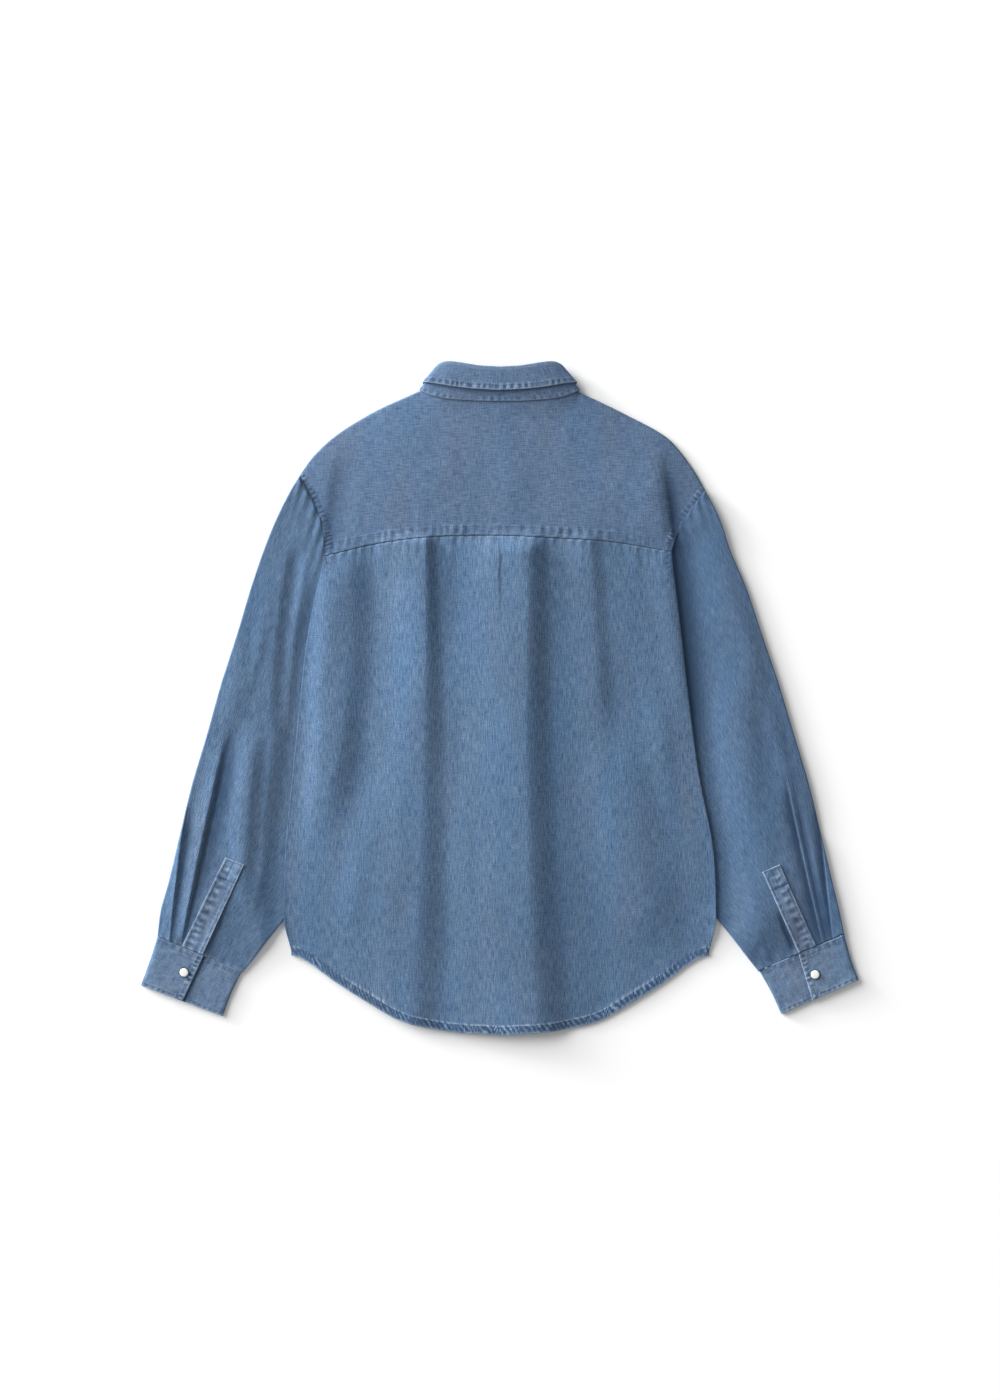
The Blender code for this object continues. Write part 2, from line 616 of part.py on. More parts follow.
def sleeve_ends(side, part):
    row = at(SLEEVE_SECTIONS, part)
    outer_y = row.outer_left if side == LEFT else row.outer_right
    inner_y = row.inner_left if side == LEFT else row.inner_right
    outer = Vector((side * pick(at(SLEEVE_OUTER, outer_y), side), outer_y))
    inner = Vector((side * pick(at(SLEEVE_INNER, inner_y), side), inner_y))
    return outer, inner


def sleeve_plan(side, share, part):
    """A spot share of the way from the outer to the inner fold of a section."""
    outer, inner = sleeve_ends(side, part)
    spot = outer.lerp(inner, share)
    tip, underarm = pick_pair(ARMHOLE[0], side), pick_pair(ARMHOLE[-1], side)
    hollow = pick_pair(at(ARMHOLE, share), side) - tip.lerp(underarm, share)
    spot += hollow * (1 - part) ** HEAD_FADE
    away = Vector((side * (tip.y - underarm.y), -abs(tip.x - underarm.x))).normalized()
    return spot + away * ARMHOLE_GAP * (1 - ramp(part / ARMHOLE_GAP_FADE))


def sleeve_point(side, station, part):
    stretch, value = station
    outer, inner = sleeve_ends(side, part)
    width = (inner - outer).length
    outer_roll = sleeve_height(side, outer.x, outer.y) - SLEEVE_FOLD
    inner_roll = sleeve_height(side, inner.x, inner.y) - SLEEVE_FOLD
    if stretch in ("top", "bottom"):
        low = (outer_roll if stretch == "top" else SLEEVE_FOLD) / width
        high = 1 - (inner_roll if stretch == "top" else SLEEVE_FOLD) / width
        spot = sleeve_plan(side, mix(low, high, value), part)
        return spot.x, spot.y, sleeve_height(side, spot.x, spot.y) if stretch == "top" else 0.0
    angle = math.radians(value)
    roll = outer_roll if stretch == "outer" else inner_roll
    if value < 0:
        roll = SLEEVE_FOLD
    inset = roll * (1 - math.cos(angle)) / width
    spot = sleeve_plan(side, inset if stretch == "outer" else 1 - inset, part)
    if value < 0:
        return spot.x, spot.y, SLEEVE_FOLD * (1 + math.sin(angle))
    top = sleeve_height(side, spot.x, spot.y)
    return spot.x, spot.y, mix(SLEEVE_FOLD, top, math.sin(angle))


# ---- cuffs and plackets ---------------------------------------------------------------------
def cuff_wrap(width, lap):
    """The cuff's strip from its overlap round the wrist to its underlap.

    Each station is (distance from the outer fold, height of the outer face).
    """
    stations = [(lap * share, CUFF_TOP) for share in CUFF_LAP_SHARES]
    roll = CUFF_TOP - CUFF_FOLD
    for angle in CUFF_ROLL[::-1]:
        turn = math.radians(angle)
        side = roll if angle >= 0 else CUFF_FOLD
        stations.append((side * (1 - math.cos(turn)), CUFF_FOLD + side * math.sin(turn)))
    stations += [(width * share, 0.0) for share in CUFF_BOTTOM_SHARES]
    fold = CUFF_UNDER / 2
    for angle in CUFF_ROLL:
        turn = math.radians(angle)
        stations.append((width - fold * (1 - math.cos(turn)), fold * (1 + math.sin(turn))))
    stations += [(mix(width, lap, share), CUFF_UNDER + CUFF_SWELL) for share in CUFF_TOP_SHARES]
    stations += [(lap + CUFF_DIP, CUFF_UNDER), (lap - CUFF_UNDERLAP, CUFF_UNDER)]
    return stations


def cuff_point(side, station, down):
    cuff = CUFFS[side]
    top_outer, top_inner = Vector(cuff.top_outer), Vector(cuff.top_inner)
    bottom_outer, bottom_inner = Vector(cuff.bottom_outer), Vector(cuff.bottom_inner)
    top_width, bottom_width = (top_inner - top_outer).length, (bottom_inner - bottom_outer).length
    laps = CUFF_LAP[side]
    top = cuff_wrap(top_width, laps[0] * top_width)[station]
    bottom = cuff_wrap(bottom_width, laps[1] * bottom_width)[station]
    upper = top_outer.lerp(top_inner, top[0] / top_width)
    lower = bottom_outer.lerp(bottom_inner, bottom[0] / bottom_width)
    spot = upper.lerp(lower, down)
    return side * spot.x, spot.y, mix(top[1], bottom[1], down)


def placket_point(side, across, down):
    patch = PLACKETS[side]
    upper = Vector(patch.top_outer).lerp(Vector(patch.top_inner), across)
    lower = Vector(patch.bottom_outer).lerp(Vector(patch.bottom_inner), across)
    spot = upper.lerp(lower, down)
    x = side * spot.x
    return x, spot.y, sleeve_height(side, x, spot.y) + PLACKET_GAP


# ---- collar ---------------------------------------------------------------------------------
def collar_line(step):
    """The stand's seam point and the roll point above it."""
    side = LEFT if step < 0 else RIGHT
    row = at(COLLAR, abs(step))
    seam = Vector((side * row.seam_x, row.seam_y, row.seam_z))
    return seam, Vector((side * row.roll_x, row.roll_y, row.roll_z))


def collar_frame(step):
    """Seam, roll and leaf edge of the loop at a step, and the way out of the neck."""
    row = at(COLLAR, abs(step))
    side = LEFT if step < 0 else RIGHT
    seam, roll = collar_line(step)
    edge = Vector((side * row.edge_x, row.edge_y, 0))
    before, after = collar_line(step - 0.1), collar_line(step + 0.1)
    run = (after[0] + after[1]) - (before[0] + before[1])
    return row, seam, roll, edge, run.cross(roll - seam).normalized()


def stand_point(step, up):
    last = COLLAR[-1].step
    past = max(0.0, abs(step) - last)
    side = LEFT if step < 0 else RIGHT
    _, seam, roll, _, _ = collar_frame(max(-last, min(last, step)))
    closing = max(0.0, min(abs(step), last) - COLLAR[-2].step)
    roll.x -= side * COLLAR[-1].roll_x * closing
    roll.y -= STAND_FRONT_DROP * closing
    top = roll + (seam - roll).normalized() * (ROLL_RADIUS + FALL_RISE + STAND_GAP)
    spot = seam.lerp(top, up)
    spot.x -= side * past * STAND_LAP
    if side == LEFT and abs(step) > FRONT_NECK_STEP:
        beside_lap = (-spot.x - STAND_LAP - SEAM_GAP) / STAND_LAP_RAMP
        spot.z += STAND_LAP_LIFT * (1 - ramp(beside_lap))
    return spot


def fall_stations():
    """(share of the leaf, distance from the roll, offset out) across the fall, seam first."""
    stations = [(0, ROLL_RADIUS + FALL_RISE, -CLOTH)]
    for angle in COLLAR_ROLL:
        turn = math.radians(angle)
        distance = ROLL_RADIUS * (1 - math.cos(turn))
        stations.append((0, distance, ROLL_RADIUS * (1 + math.sin(turn)) - CLOTH))
    stations += [(share, ROLL_RADIUS, FALL_OVER) for share in LEAF_SHARES]
    return stations


def fall_point(step, station):
    share, distance, offset = station
    row, seam, roll, edge, out = collar_frame(step)
    drop = (seam - roll) / (seam - roll).length
    spot = roll + drop * distance
    leaf = (edge.xy - spot.xy) * share
    spot.x += leaf.x
    spot.y += leaf.y
    down = min(1.0, (spot.xy - roll.xy).length / (seam.xy - roll.xy).length)
    spot.z = mix(row.roll_z, row.seam_z, down)
    return spot + out * (offset + row.flare * share)


# ---- band and snaps -------------------------------------------------------------------------
def band_point(across, up):
    x = across * BAND_HALF
    low = hem_y(x / SIDES[0].left) + FRONT_HEM_UP
    return x, mix(low, COLLAR[-1].seam_y - FRONT_NECK_GAP, up), BAND_LIFT


def snap(name, x, y, z, height, color, collection):
    """A turned cap: flat foot, straight rim and a low dome."""
    mesh = bpy.data.meshes.new(name)
    points = [(row.radius * SNAP_RADIUS * MM, 0, row.rise * height * MM) for row in SNAP_DOME]
    mesh.from_pydata(points, [(number, number + 1) for number in range(len(points) - 1)], [])
    mesh.materials.append(color)
    piece = bpy.data.objects.new(name, mesh)
    collection.objects.link(piece)
    piece.location = Vector((x, y, z)) * MM
    screw = piece.modifiers.new("Turn", "SCREW")
    screw.steps = SNAP_STEPS
    screw.render_steps = SNAP_STEPS
    screw.use_merge_vertices = True
    screw.merge_threshold = 0.00001
    screw.use_smooth_shade = True
    return piece


def material(name, color, roughness, metallic=0.0):
    shade = bpy.data.materials.new(name)
    shade.use_nodes = True
    shader = shade.node_tree.nodes["Principled BSDF"]
    shader.inputs["Base Color"].default_value = (*color, 1)
    shader.inputs["Roughness"].default_value = roughness
    shader.inputs["Metallic"].default_value = metallic
    return shade


def build():
    for old in list(bpy.data.objects):
        bpy.data.objects.remove(old, do_unlink=True)
    shirt = bpy.data.collections.new("denim_shirt")
    bpy.context.scene.collection.children.link(shirt)
    denim = material("denim", (0.120, 0.205, 0.345), 0.9)
    pearl = material("pearl", (0.80, 0.79, 0.76), 0.25)

    cloth("back", body_columns(36), even(20), back_point, denim, shirt)
    cloth("yoke", body_columns(32), YOKE_ROWS, yoke_point, denim, shirt)
    for side, word in ((LEFT, "left"), (RIGHT, "right")):
        mirrored = side == LEFT
        cloth("front_" + word, front_columns(side, 9), front_rows(side, 13),
              lambda across, up, side=side: front_point(side, across, up),
              denim, shirt, outward=1, flip=mirrored)
        cloth("sleeve_" + word, ring_steps(11, SLEEVE_BOTTOM), even(18),
              lambda station, part, side=side: sleeve_point(side, station, part),
              denim, shirt, flip=mirrored, tube=True)
        cloth("cuff_" + word, range(len(cuff_wrap(1.0, 0.5))), even(3),
              lambda station, down, side=side: cuff_point(side, station, down),
              denim, shirt, wall=CUFF_CLOTH, flip=not mirrored)
        cloth("sleeve_placket_" + word, even(4), even(12),
              lambda across, down, side=side: placket_point(side, across, down),
              denim, shirt, outward=1, flip=mirrored)
        x, y = CUFF_SNAPS[side]
        snap("cuff_snap_" + word, side * x, y, CUFF_TOP + SEAM_GAP, CUFF_SNAP_HEIGHT, pearl, shirt)

    cloth("front_band", even(2, -1.0), even(12), band_point, denim, shirt, outward=1)
    last = COLLAR[-1].step
    loop = even(32, -last, last)
    cloth("collar_stand", [-last - 1] + loop + [last + 1], even(3), stand_point, denim, shirt)
    cloth("collar", loop, fall_stations()[::-1], fall_point, denim, shirt)

    snap("stand_snap", 0, STAND_SNAP_Y, 0, FRONT_SNAP_HEIGHT, pearl, shirt)
    for number in range(FRONT_SNAPS):
        snap("front_snap_%d" % (number + 1), 0, FRONT_SNAP_TOP - FRONT_SNAP_PITCH * number, 0,
             FRONT_SNAP_HEIGHT, pearl, shirt)


build()
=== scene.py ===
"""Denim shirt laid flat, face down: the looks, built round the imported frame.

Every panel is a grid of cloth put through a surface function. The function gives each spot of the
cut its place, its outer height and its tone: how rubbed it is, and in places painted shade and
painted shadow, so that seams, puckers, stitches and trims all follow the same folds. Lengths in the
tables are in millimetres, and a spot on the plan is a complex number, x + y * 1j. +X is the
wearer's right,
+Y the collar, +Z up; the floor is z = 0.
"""

import math
from collections import namedtuple

import bmesh
import bpy
import numpy as np
from mathutils import Euler, Matrix, Vector


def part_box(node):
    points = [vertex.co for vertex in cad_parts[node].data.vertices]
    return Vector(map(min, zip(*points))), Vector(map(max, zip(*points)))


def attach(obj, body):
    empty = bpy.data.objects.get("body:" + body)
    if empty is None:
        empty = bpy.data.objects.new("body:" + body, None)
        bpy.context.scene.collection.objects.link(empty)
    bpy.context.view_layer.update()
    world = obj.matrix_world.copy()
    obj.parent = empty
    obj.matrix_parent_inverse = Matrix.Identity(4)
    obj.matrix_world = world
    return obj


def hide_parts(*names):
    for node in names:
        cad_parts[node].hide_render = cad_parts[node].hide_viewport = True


bl_info = {
    "name": "Denim shirt laid flat",
    "version": (1, 0, 0),
    "blender": (4, 5, 0),
    "location": "View3D > Sidebar > Shirt",
    "description": "A washed denim shirt laid face down, with its folds, stitching and snaps",
    "category": "Add Mesh",
}

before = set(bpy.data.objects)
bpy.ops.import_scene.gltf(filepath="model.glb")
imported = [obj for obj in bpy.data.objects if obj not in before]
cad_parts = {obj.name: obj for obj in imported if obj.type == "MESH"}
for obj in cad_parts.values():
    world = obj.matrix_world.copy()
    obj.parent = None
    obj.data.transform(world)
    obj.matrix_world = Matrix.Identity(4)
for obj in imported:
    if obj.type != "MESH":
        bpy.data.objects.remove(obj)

MM = 0.001
LEFT, RIGHT = -1, 1
SIDES_OF_SHIRT = ((LEFT, "left"), (RIGHT, "right"))

# ---- heights over the floor ---------------------------------------------------------------------
CLOTH = 1.1
CUFF_CLOTH = 1.3
RIM_GAP = 0.45
SLEEVE_UNDER = 3.6
SLEEVE_EDGE = 7.4
SLEEVE_CROWN = {LEFT: 1.2, RIGHT: 2.6}
SLEEVE_FOLD = 1.8                    # of the lower half of a sleeve's two folds
SLEEVE_ROLL_SHARE = 0.3              # how far in a fold's roll reaches, against its height
ARMHOLE_TOP = 8.2
FRONT_OVER_SLEEVE = 4.7
NECK_LIFT = 1.7
BAND_LIFT = 1.7
LAP_LIFT = 3.3
SIDE_ROLL = 1.1
LOFT, LOFT_REACH = 3.8, 70.0
HEM_SHARE, HEM_REACH = 0.38, 100.0
HEM_SHARE_INSET = 60.0
FOLD_INSET = 30.0
SHOULDER_ROLL, SHOULDER_REACH = 2.2, 45.0
SHOULDER_ROLL_SHARE = 0.30
CROWN_REACH = 34.0
FOLDS_AT_CUFF = 0.6
CUFF_FADE = 60.0
CRUMPLE, CRUMPLE_WIDTH, CRUMPLE_REACH = 0.55, 10.0, 70.0
EVEN_EDGE = 14.0                     # how far in from its outer fold a sleeve is smooth
HOLLOW_ON_SLEEVE = 0.8
HOLLOW_SHADE = 0.17                   # painted shade: deeper colour for each millimetre of a hollow
STITCH_RISE, HEM_STITCH_RISE, BAND_STITCH_RISE = 0.1, 0.15, -0.05
STITCH_FLATNESS = 0.8                # height of a stitch against its width
STITCH_ENDS = 0.985                  # how far out the stitches go, of the body's half width
EDGE_STITCH = 1.4                    # from an edge to the line of stitches nearest to it
FAR = 1000.0

# ---- where the layers change --------------------------------------------------------------------
ARMHOLE_SHARE = 0.70                 # of the armhole that the yoke has, from the shoulder tip
HUG_FROM, HUG_OVER = {LEFT: 60.0, RIGHT: 166.0}, {LEFT: 100.0, RIGHT: 38.0}
UNDERARM_Y, UNDERARM_FADE = 122.0, 46.0
SLEEVE_OUT_Y, SLEEVE_OUT_FADE = -300.0, 42.0
SIDE_STEP_Y, SIDE_STEP_FADE, SIDE_STEP_REACH = -330.0, 150.0, 70.0
SLEEVE_BESIDE = {LEFT: 4.8, RIGHT: 2.9}      # height just outside the body's edge
SLEEVE_BESIDE_RAMP = 12.0
Clearing = namedtuple("Clearing", "y begin length")
SLEEVE_CLEARING = {  # how far outside the body's edge a sleeve rises to its own height
    LEFT: (
        Clearing(-300, 8, 26),
        Clearing(0, 4, 22),
        Clearing(110, 1, 18),
        Clearing(170, 0, 16),
    ),
    RIGHT: (
        Clearing(-300, 0, 60),
        Clearing(-20, 5, 70),
        Clearing(60, 14, 60),
        Clearing(170, 14, 45),
    ),
}
SLEEVE_TILT = {LEFT: 0.0, RIGHT: 0.032}      # how much a sleeve slopes down to its outer fold
SLEEVE_TILT_REACH = 110.0
SLEEVE_SHADE = {LEFT: 0.0, RIGHT: -0.29}      # painted shade: how much deeper a whole sleeve is coloured than the body, below 0; the right one, in dimmer light, is deeper
# where along the body's side the painted shadow on the sleeve beside it fades in
BESIDE_SHADOW_FROM, BESIDE_SHADOW_OVER = -110.0, 130.0
SLEEVE_LENGTH = 540.0
HEAD_FROM, HEAD_OVER = 150.0, 60.0
HEAD_WAY, CUFF_WAY = 0.95 + 0.30j, 0.92 + 0.38j      # along the armhole and the cuff seam
FRONT_RAMP, FRONT_LEAD = 30.0, 12.0
BAND_RAMP_FROM, BAND_RAMP = 14.0, 22.0
NECK_OVAL = (118.0, 88.0)
NECK_OVAL_Y, NECK_OVAL_FADE = 330.0, 0.28
NECK_SHARE = 0.32
FRONT_NECK_SHARE = 0.38
NECK_TURN = 0.9
YOKE_WIDTH = 400.0
YOKE_BAND = 1.15                     # width of the yoke seam's band against the others
ARMHOLE_SPREAD = 0.35                # how much wider the yoke's columns get towards the shoulder
FRONT_INSET = 0.6
FRONT_WIDTH, FRONT_LENGTH = 200.0, 600.0     # about, for the wear of the edges
FRONT_NECK_GAP = 0.65
FRONT_ARMHOLE_FROM, FRONT_ARMHOLE_OVER = 84.0, 38.0
HEAD_FADE = 6
SEAM_GAP = 0.2
NECK_EASE, STAND_OVER = 24.0, 0.75   # the yoke rises to lie just under the stand's foot
NECK_TUCK, YOKE_TUCK = 0.9, 0.8      # how far cloth runs in under a seam's upper layer
ARMHOLE_TUCK, ARMHOLE_TUCK_FADE = 0.9, 0.05
YOKE_SINK, YOKE_SINK_FADE = 0.8, 2.0         # how much lower the back is where it runs in
HEM_SINK = 0.2

# Lines of tone beside an edge or a seam: how pale (above 0) or deep, how far from it, how wide.
# Some are rubbed cloth and unfaded seams; others are painted shade and painted shadows, marked as
# such.
ToneLine = namedtuple("ToneLine", "tone place width")
HEM_MIDDLE_WEAR = ToneLine(-0.28, 0.5, 0.45)     # in shares of the hem's depth
# painted shade: darkens the body's rolled side edge, which catches the light
SIDE_EDGE_SHADE = ToneLine(-0.45, 0.0, 2.4)
UNDER_YOKE_WEAR = ToneLine(0.15, 2.4, 1.4)
YOKE_ARMHOLE_WEAR = ToneLine(-0.12, 3.0, 4.0)
YOKE_NECK_WEAR = ToneLine(-0.25, 1.5, 1.8)
# painted shade: darkens the yoke's rolled shoulder edge, which catches the light
YOKE_SHOULDER_SHADE = ToneLine(-0.50, 0.0, 1.8)
FRONT_EDGE_WEAR = ToneLine(0.50, 0.0, 3.0)
BAND_EDGE_WEAR = ToneLine(0.60, 0.0, 1.5)
# painted shade beside the sleeve head seam: a wide soft band and a narrow line, far deeper on the
# right, away from the light
HEAD_SHADE = {
    LEFT: (ToneLine(-0.20, 0.0, 10.0), ToneLine(-0.45, 2.6, 1.7)),
    RIGHT: (ToneLine(-0.20, 0.0, 10.0), ToneLine(-1.35, 2.6, 1.7)),
}
# painted shadow that the body's edge casts on the sleeve beside it; the lit left side gets none
BESIDE_SHADOW = {LEFT: ToneLine(0.0, 2.0, 15.0), RIGHT: ToneLine(-0.85, 2.0, 15.0)}
# painted shade: darkens a sleeve's rolled outer fold, which catches the light
SLEEVE_FOLD_SHADE = ToneLine(-0.50, 0.0, 1.6)
SLEEVE_CUFF_WEAR = ToneLine(0.25, 1.5, 1.6)
# painted shade in the sleeve's open slit beside the placket
SLIT_SHADE = ToneLine(-1.0, -2.4, 3.0)
# painted shade: darkens a cuff's rolled outer fold, which catches the light
CUFF_FOLD_SHADE = ToneLine(-0.70, 0.0, 2.2)
CUFF_LAP_SHADOW = {LEFT: ToneLine(-1.0, 1.2, 2.2), RIGHT: ToneLine(-0.3, 1.2, 2.2)}     # painted shadow of the overlap's edge on the underlap
# painted shadow: a dark ring on the cuff round each snap
SNAP_SHADOW = ToneLine(-0.90, 0.0, 1.1)
FALL_ROLL_WEAR = ToneLine(0.30, 1.0, 2.0)

Side = namedtuple("Side", "y left right")
SIDES = (  # the body's side edges, from the middle line
    Side(-292, 239.5, 240.5),
    Side(-250, 248.0, 248.5),
    Side(-175, 246.0, 245.5),
    Side(-88, 238.0, 229.0),
    Side(5, 228.5, 216.5),
    Side(66, 221.5, 209.5),
    Side(121, 211.0, 203.0),
    Side(148, 204.0, 199.5),
    Side(170, 199.5, 197.3),
)

Curve = namedtuple("Curve", "across y")
HEM = (  # shirt-tail hem, from the middle to a side seam
    Curve(0.00, -386.8),
    Curve(0.30, -381.0),
    Curve(0.48, -370.3),
    Curve(0.65, -347.3),
    Curve(0.80, -324.3),
    Curve(0.93, -302.0),
    Curve(0.965, -297.5),
    Curve(1.00, -296.0),
)
YOKE_SEAM = (
    Curve(-1.00, 163.5),
    Curve(-0.76, 175.3),
    Curve(-0.39, 185.2),
    Curve(0.00, 187.0),
    Curve(0.28, 184.5),
    Curve(0.66, 179.4),
    Curve(1.00, 168.5),
)

Pair = namedtuple("Pair", "part left_x left_y right_x right_y")
ARMHOLE = (  # from the shoulder tip to the underarm
    Pair(0.00, 231.5, 254.0, 236.8, 238.0),
    Pair(0.25, 216.0, 228.0, 221.0, 216.5),
    Pair(0.50, 203.5, 197.0, 206.0, 193.5),
    Pair(0.70, 200.5, 163.5, 197.5, 168.5),
    Pair(1.00, 189.0, 122.0, 187.0, 122.0),
)
SHOULDER = (  # from the shoulder tip to the neck
    Pair(0.00, 231.5, 254.0, 236.8, 238.0),
    Pair(0.25, 213.0, 279.0, 219.0, 267.7),
    Pair(0.50, 186.0, 303.3, 192.0, 299.2),
    Pair(0.75, 145.0, 328.4, 148.0, 324.2),
    Pair(1.00, 93.5, 352.0, 91.0, 351.5),
)

Edge = namedtuple("Edge", "y left right")
SLEEVE_OUTER = (  # outer fold of a sleeve, from the cuff up
    Edge(-273.6, 393.4, 396.4),
    Edge(-243.8, 389.6, 390.1),
    Edge(-215.0, 381.5, 383.2),
    Edge(-157.5, 367.7, 369.4),
    Edge(-100.0, 353.9, 355.6),
    Edge(-42.5, 336.7, 338.4),
    Edge(15.0, 320.6, 321.1),
    Edge(72.5, 302.2, 301.6),
    Edge(130.0, 284.9, 282.0),
    Edge(170.0, 271.2, 264.9),
    Edge(204.7, 257.3, 253.3),
    Edge(238.0, 240.6, 236.8),
    Edge(254.0, 231.5, 228.0),
)
SLEEVE_INNER = (  # inner fold, tucked under the body above the hem corner
    Edge(-316.0, 296.2, 298.8),
    Edge(-295.6, 279.6, 282.5),
    Edge(-278.3, 266.5, 269.4),
    Edge(-261.0, 252.7, 255.6),
    Edge(-219.0, 222.0, 224.0),
    Edge(-163.0, 194.0, 195.0),
    Edge(-106.0, 181.0, 181.0),
    Edge(-50.0, 179.0, 178.0),
    Edge(9.0, 184.0, 181.0),
    Edge(67.0, 190.0, 187.0),
    Edge(98.0, 191.0, 188.5),
    Edge(122.0, 189.0, 187.0),
)

Section = namedtuple("Section", "part outer_left outer_right inner_left inner_right")
SLEEVE_SECTIONS = (  # heights on the plan of each section's two ends, armhole to cuff
    Section(0.00, 254.0, 238.0, 122.0, 122.0),
    Section(0.08, 234.0, 222.0, 92.0, 92.0),
    Section(0.16, 205.0, 196.0, 62.0, 62.0),
    Section(0.24, 170.0, 164.0, 25.0, 25.0),
    Section(0.33, 130.0, 127.0, -15.0, -15.0),
    Section(0.43, 72.5, 72.5, -60.0, -60.0),
    Section(0.53, 15.0, 15.0, -106.0, -106.0),
    Section(0.63, -42.5, -42.5, -148.0, -148.0),
    Section(0.73, -100.0, -100.0, -188.0, -188.0),
    Section(0.83, -157.5, -157.5, -228.0, -228.0),
    Section(0.92, -215.0, -215.0, -271.0, -270.0),
    Section(1.00, -273.2, -270.8, -315.4, -314.2),
)

CUFF_TOP = 5.9
CUFF_UNDER = 4.1
CUFF_SWELL = 0.3
CUFF_DIP = 4.0
CUFF_FOLD = 2.6
CUFF_UNDERLAP = 22.0
CUFF_LAP_RAMP = 6.0
CUFF_DEPTH = 60.0
CUFF_FOOT_TRIM = 0.7                         # width of the foot's trim against the others
CUFF_HIDDEN_TONE = 0.3                       # share of the tone, rubbing and painted shade alike, on the side that lies below
CUFF_UPPER, CUFF_UPPER_RAMP = 3.0, 0.8       # height from which cuff cloth is the side that shows
CUFF_ROLL = tuple(range(-90, 91, 15))
CUFF_LAP_SHARES = (1.0, 0.66, 0.33)

Patch = namedtuple("Patch", "top_outer top_inner bottom_outer bottom_inner")
CUFFS = {
    LEFT: Patch(393.3 - 274.0j, 296.4 - 314.0j, 412.45 - 330.0j, 318.3 - 365.7j),
    RIGHT: Patch(395.9 - 271.4j, 297.8 - 312.7j, 412.45 - 323.6j, 323.4 - 363.1j),
}
PLACKETS = {
    LEFT: Patch(314.8 - 182.9j, 292.9 - 190.9j, 364.8 - 284.8j, 341.0 - 294.6j),
    RIGHT: Patch(321.1 - 190.9j, 301.1 - 199.5j, 363.0 - 284.3j, 343.0 - 292.5j),
}
CUFF_LAP = {LEFT: (0.55, 0.51), RIGHT: (0.54, 0.60)}
CUFF_TONE = 0.16                     # how much paler the rubbed cuffs are
CUFF_SNAPS = {LEFT: 362.4 - 315.1j, RIGHT: 362.0 - 317.4j}
PLACKET_GAP = 0.1
PLACKET_WIDTH = 23.0
BOX_LENGTH = 24.0                    # of the stitched box at the placket's top
RUNG_PITCH = 9.5                     # of the puckers across the placket
OPEN_EDGE_LIFT = 1.2                 # how far the placket's open edge stands up
PLEAT_SHADE = 0.60                    # painted shade: how much deeper the hollows of the pleats are coloured
SLIT = {LEFT: 0.5, RIGHT: 2.2}       # how deep the sleeve's slit is beside the placket, and how deep its painted shade
SLIT_SINK = ToneLine(-0.8, -1.8, 3.0)    # a height, not a tone

# Ridge lines from their top to their bottom: how far the line bows, how wide its two flanks are,
# how much wider it gets, its height, and the shares of its length in which it begins and fades.
Fold = namedtuple("Fold", "x y end_x end_y bow left right flare height begin finish")
BODY_FOLDS = (
    Fold(-198, 166, -216, -200, 6, 30, 60, 0.9, 4.2, 0.10, 0.25),
    Fold(-146, 178, -184, -170, 20, 34, 60, 1.0, -3.8, 0.12, 0.25),
    Fold(-86, 193, -110, -400, 8, 60, 13, 4.0, 6.6, 0.03, 0.02),
    Fold(33, 195, 42, -400, -8, 95, 27, 1.8, 10.0, 0.05, 0.02),
    Fold(102, 195, 114, -60, 0, 34, 15, 1.8, 2.7, 0.06, 0.30),
    Fold(118, -20, 176, -300, 0, 55, 52, 1.1, 3.8, 0.30, 0.20),
    Fold(190, 190, 216, -60, 4, 30, 26, 1.0, 2.4, 0.15, 0.50),
)
HOLLOWS = (  # creases where yoke and sleeve heads sag beside the armholes
    Fold(-176, 302, -197, 160, 0, 15, 30, 1.0, -1.9, 0.40, 0.15),
    Fold(172, 300, 190, 152, 0, 70, 13, 0.80, 1.6, 0.45, 0.10),
    Fold(187, 305, 208, 150, 0, 10, 36, 0.90, -3.1, 0.50, 0.06),
    Fold(190, 276, 206, 158, 0, 6, 15, 0.90, -2.6, 0.45, 0.10),
)
SLEEVE_FOLDS = {
    LEFT: (
        Fold(-230, 180, -252, -60, -5, 14, 13, 1.0, -2.2, 0.12, 0.25),
        Fold(-279, -20, -294, -250, -5, 24, 18, 1.0, 3.2, 0.25, 0.20),
        Fold(-292, 90, -318, -40, 4, 16, 14, 1.0, 1.2, 0.35, 0.35),
    ),
    RIGHT: (
        Fold(248, 60, 266, -200, 4, 22, 48, 1.0, 3.4, 0.35, 0.35),
    ),
}
PLEATS = {  # two at each cuff: each a step in the cloth, with a hollow beside it
    LEFT: (
        Fold(-312, -30, -368, -292, -1, 17, 2.6, 0.9, 3.2, 0.30, 0.10),
        Fold(-299, -10, -356, -262, -1, 12, 30, 0.6, -2.2, 0.35, 0.35),
        Fold(-306, -30, -363.5, -286, -1, 3, 5, 1.0, -1.1, 0.20, 0.15),
        Fold(-355, -85, -380.5, -292, -1, 13, 2.4, 1.0, 2.8, 0.35, 0.10),
        Fold(-347, -85, -374, -280, -1, 8, 10, 0.7, -1.0, 0.35, 0.20),
    ),
    RIGHT: (
        Fold(324.6, -75, 372.6, -292, -1, 15, 1.4, 0.8, -1.9, 0.30, 0.12),
        Fold(332.0, -75, 378.6, -292, -1, 9, 8, 0.8, -1.3, 0.40, 0.12),
        Fold(361.6, -85, 384.2, -292, -1, 12, 1.4, 0.8, -1.8, 0.35, 0.12),
    ),
}
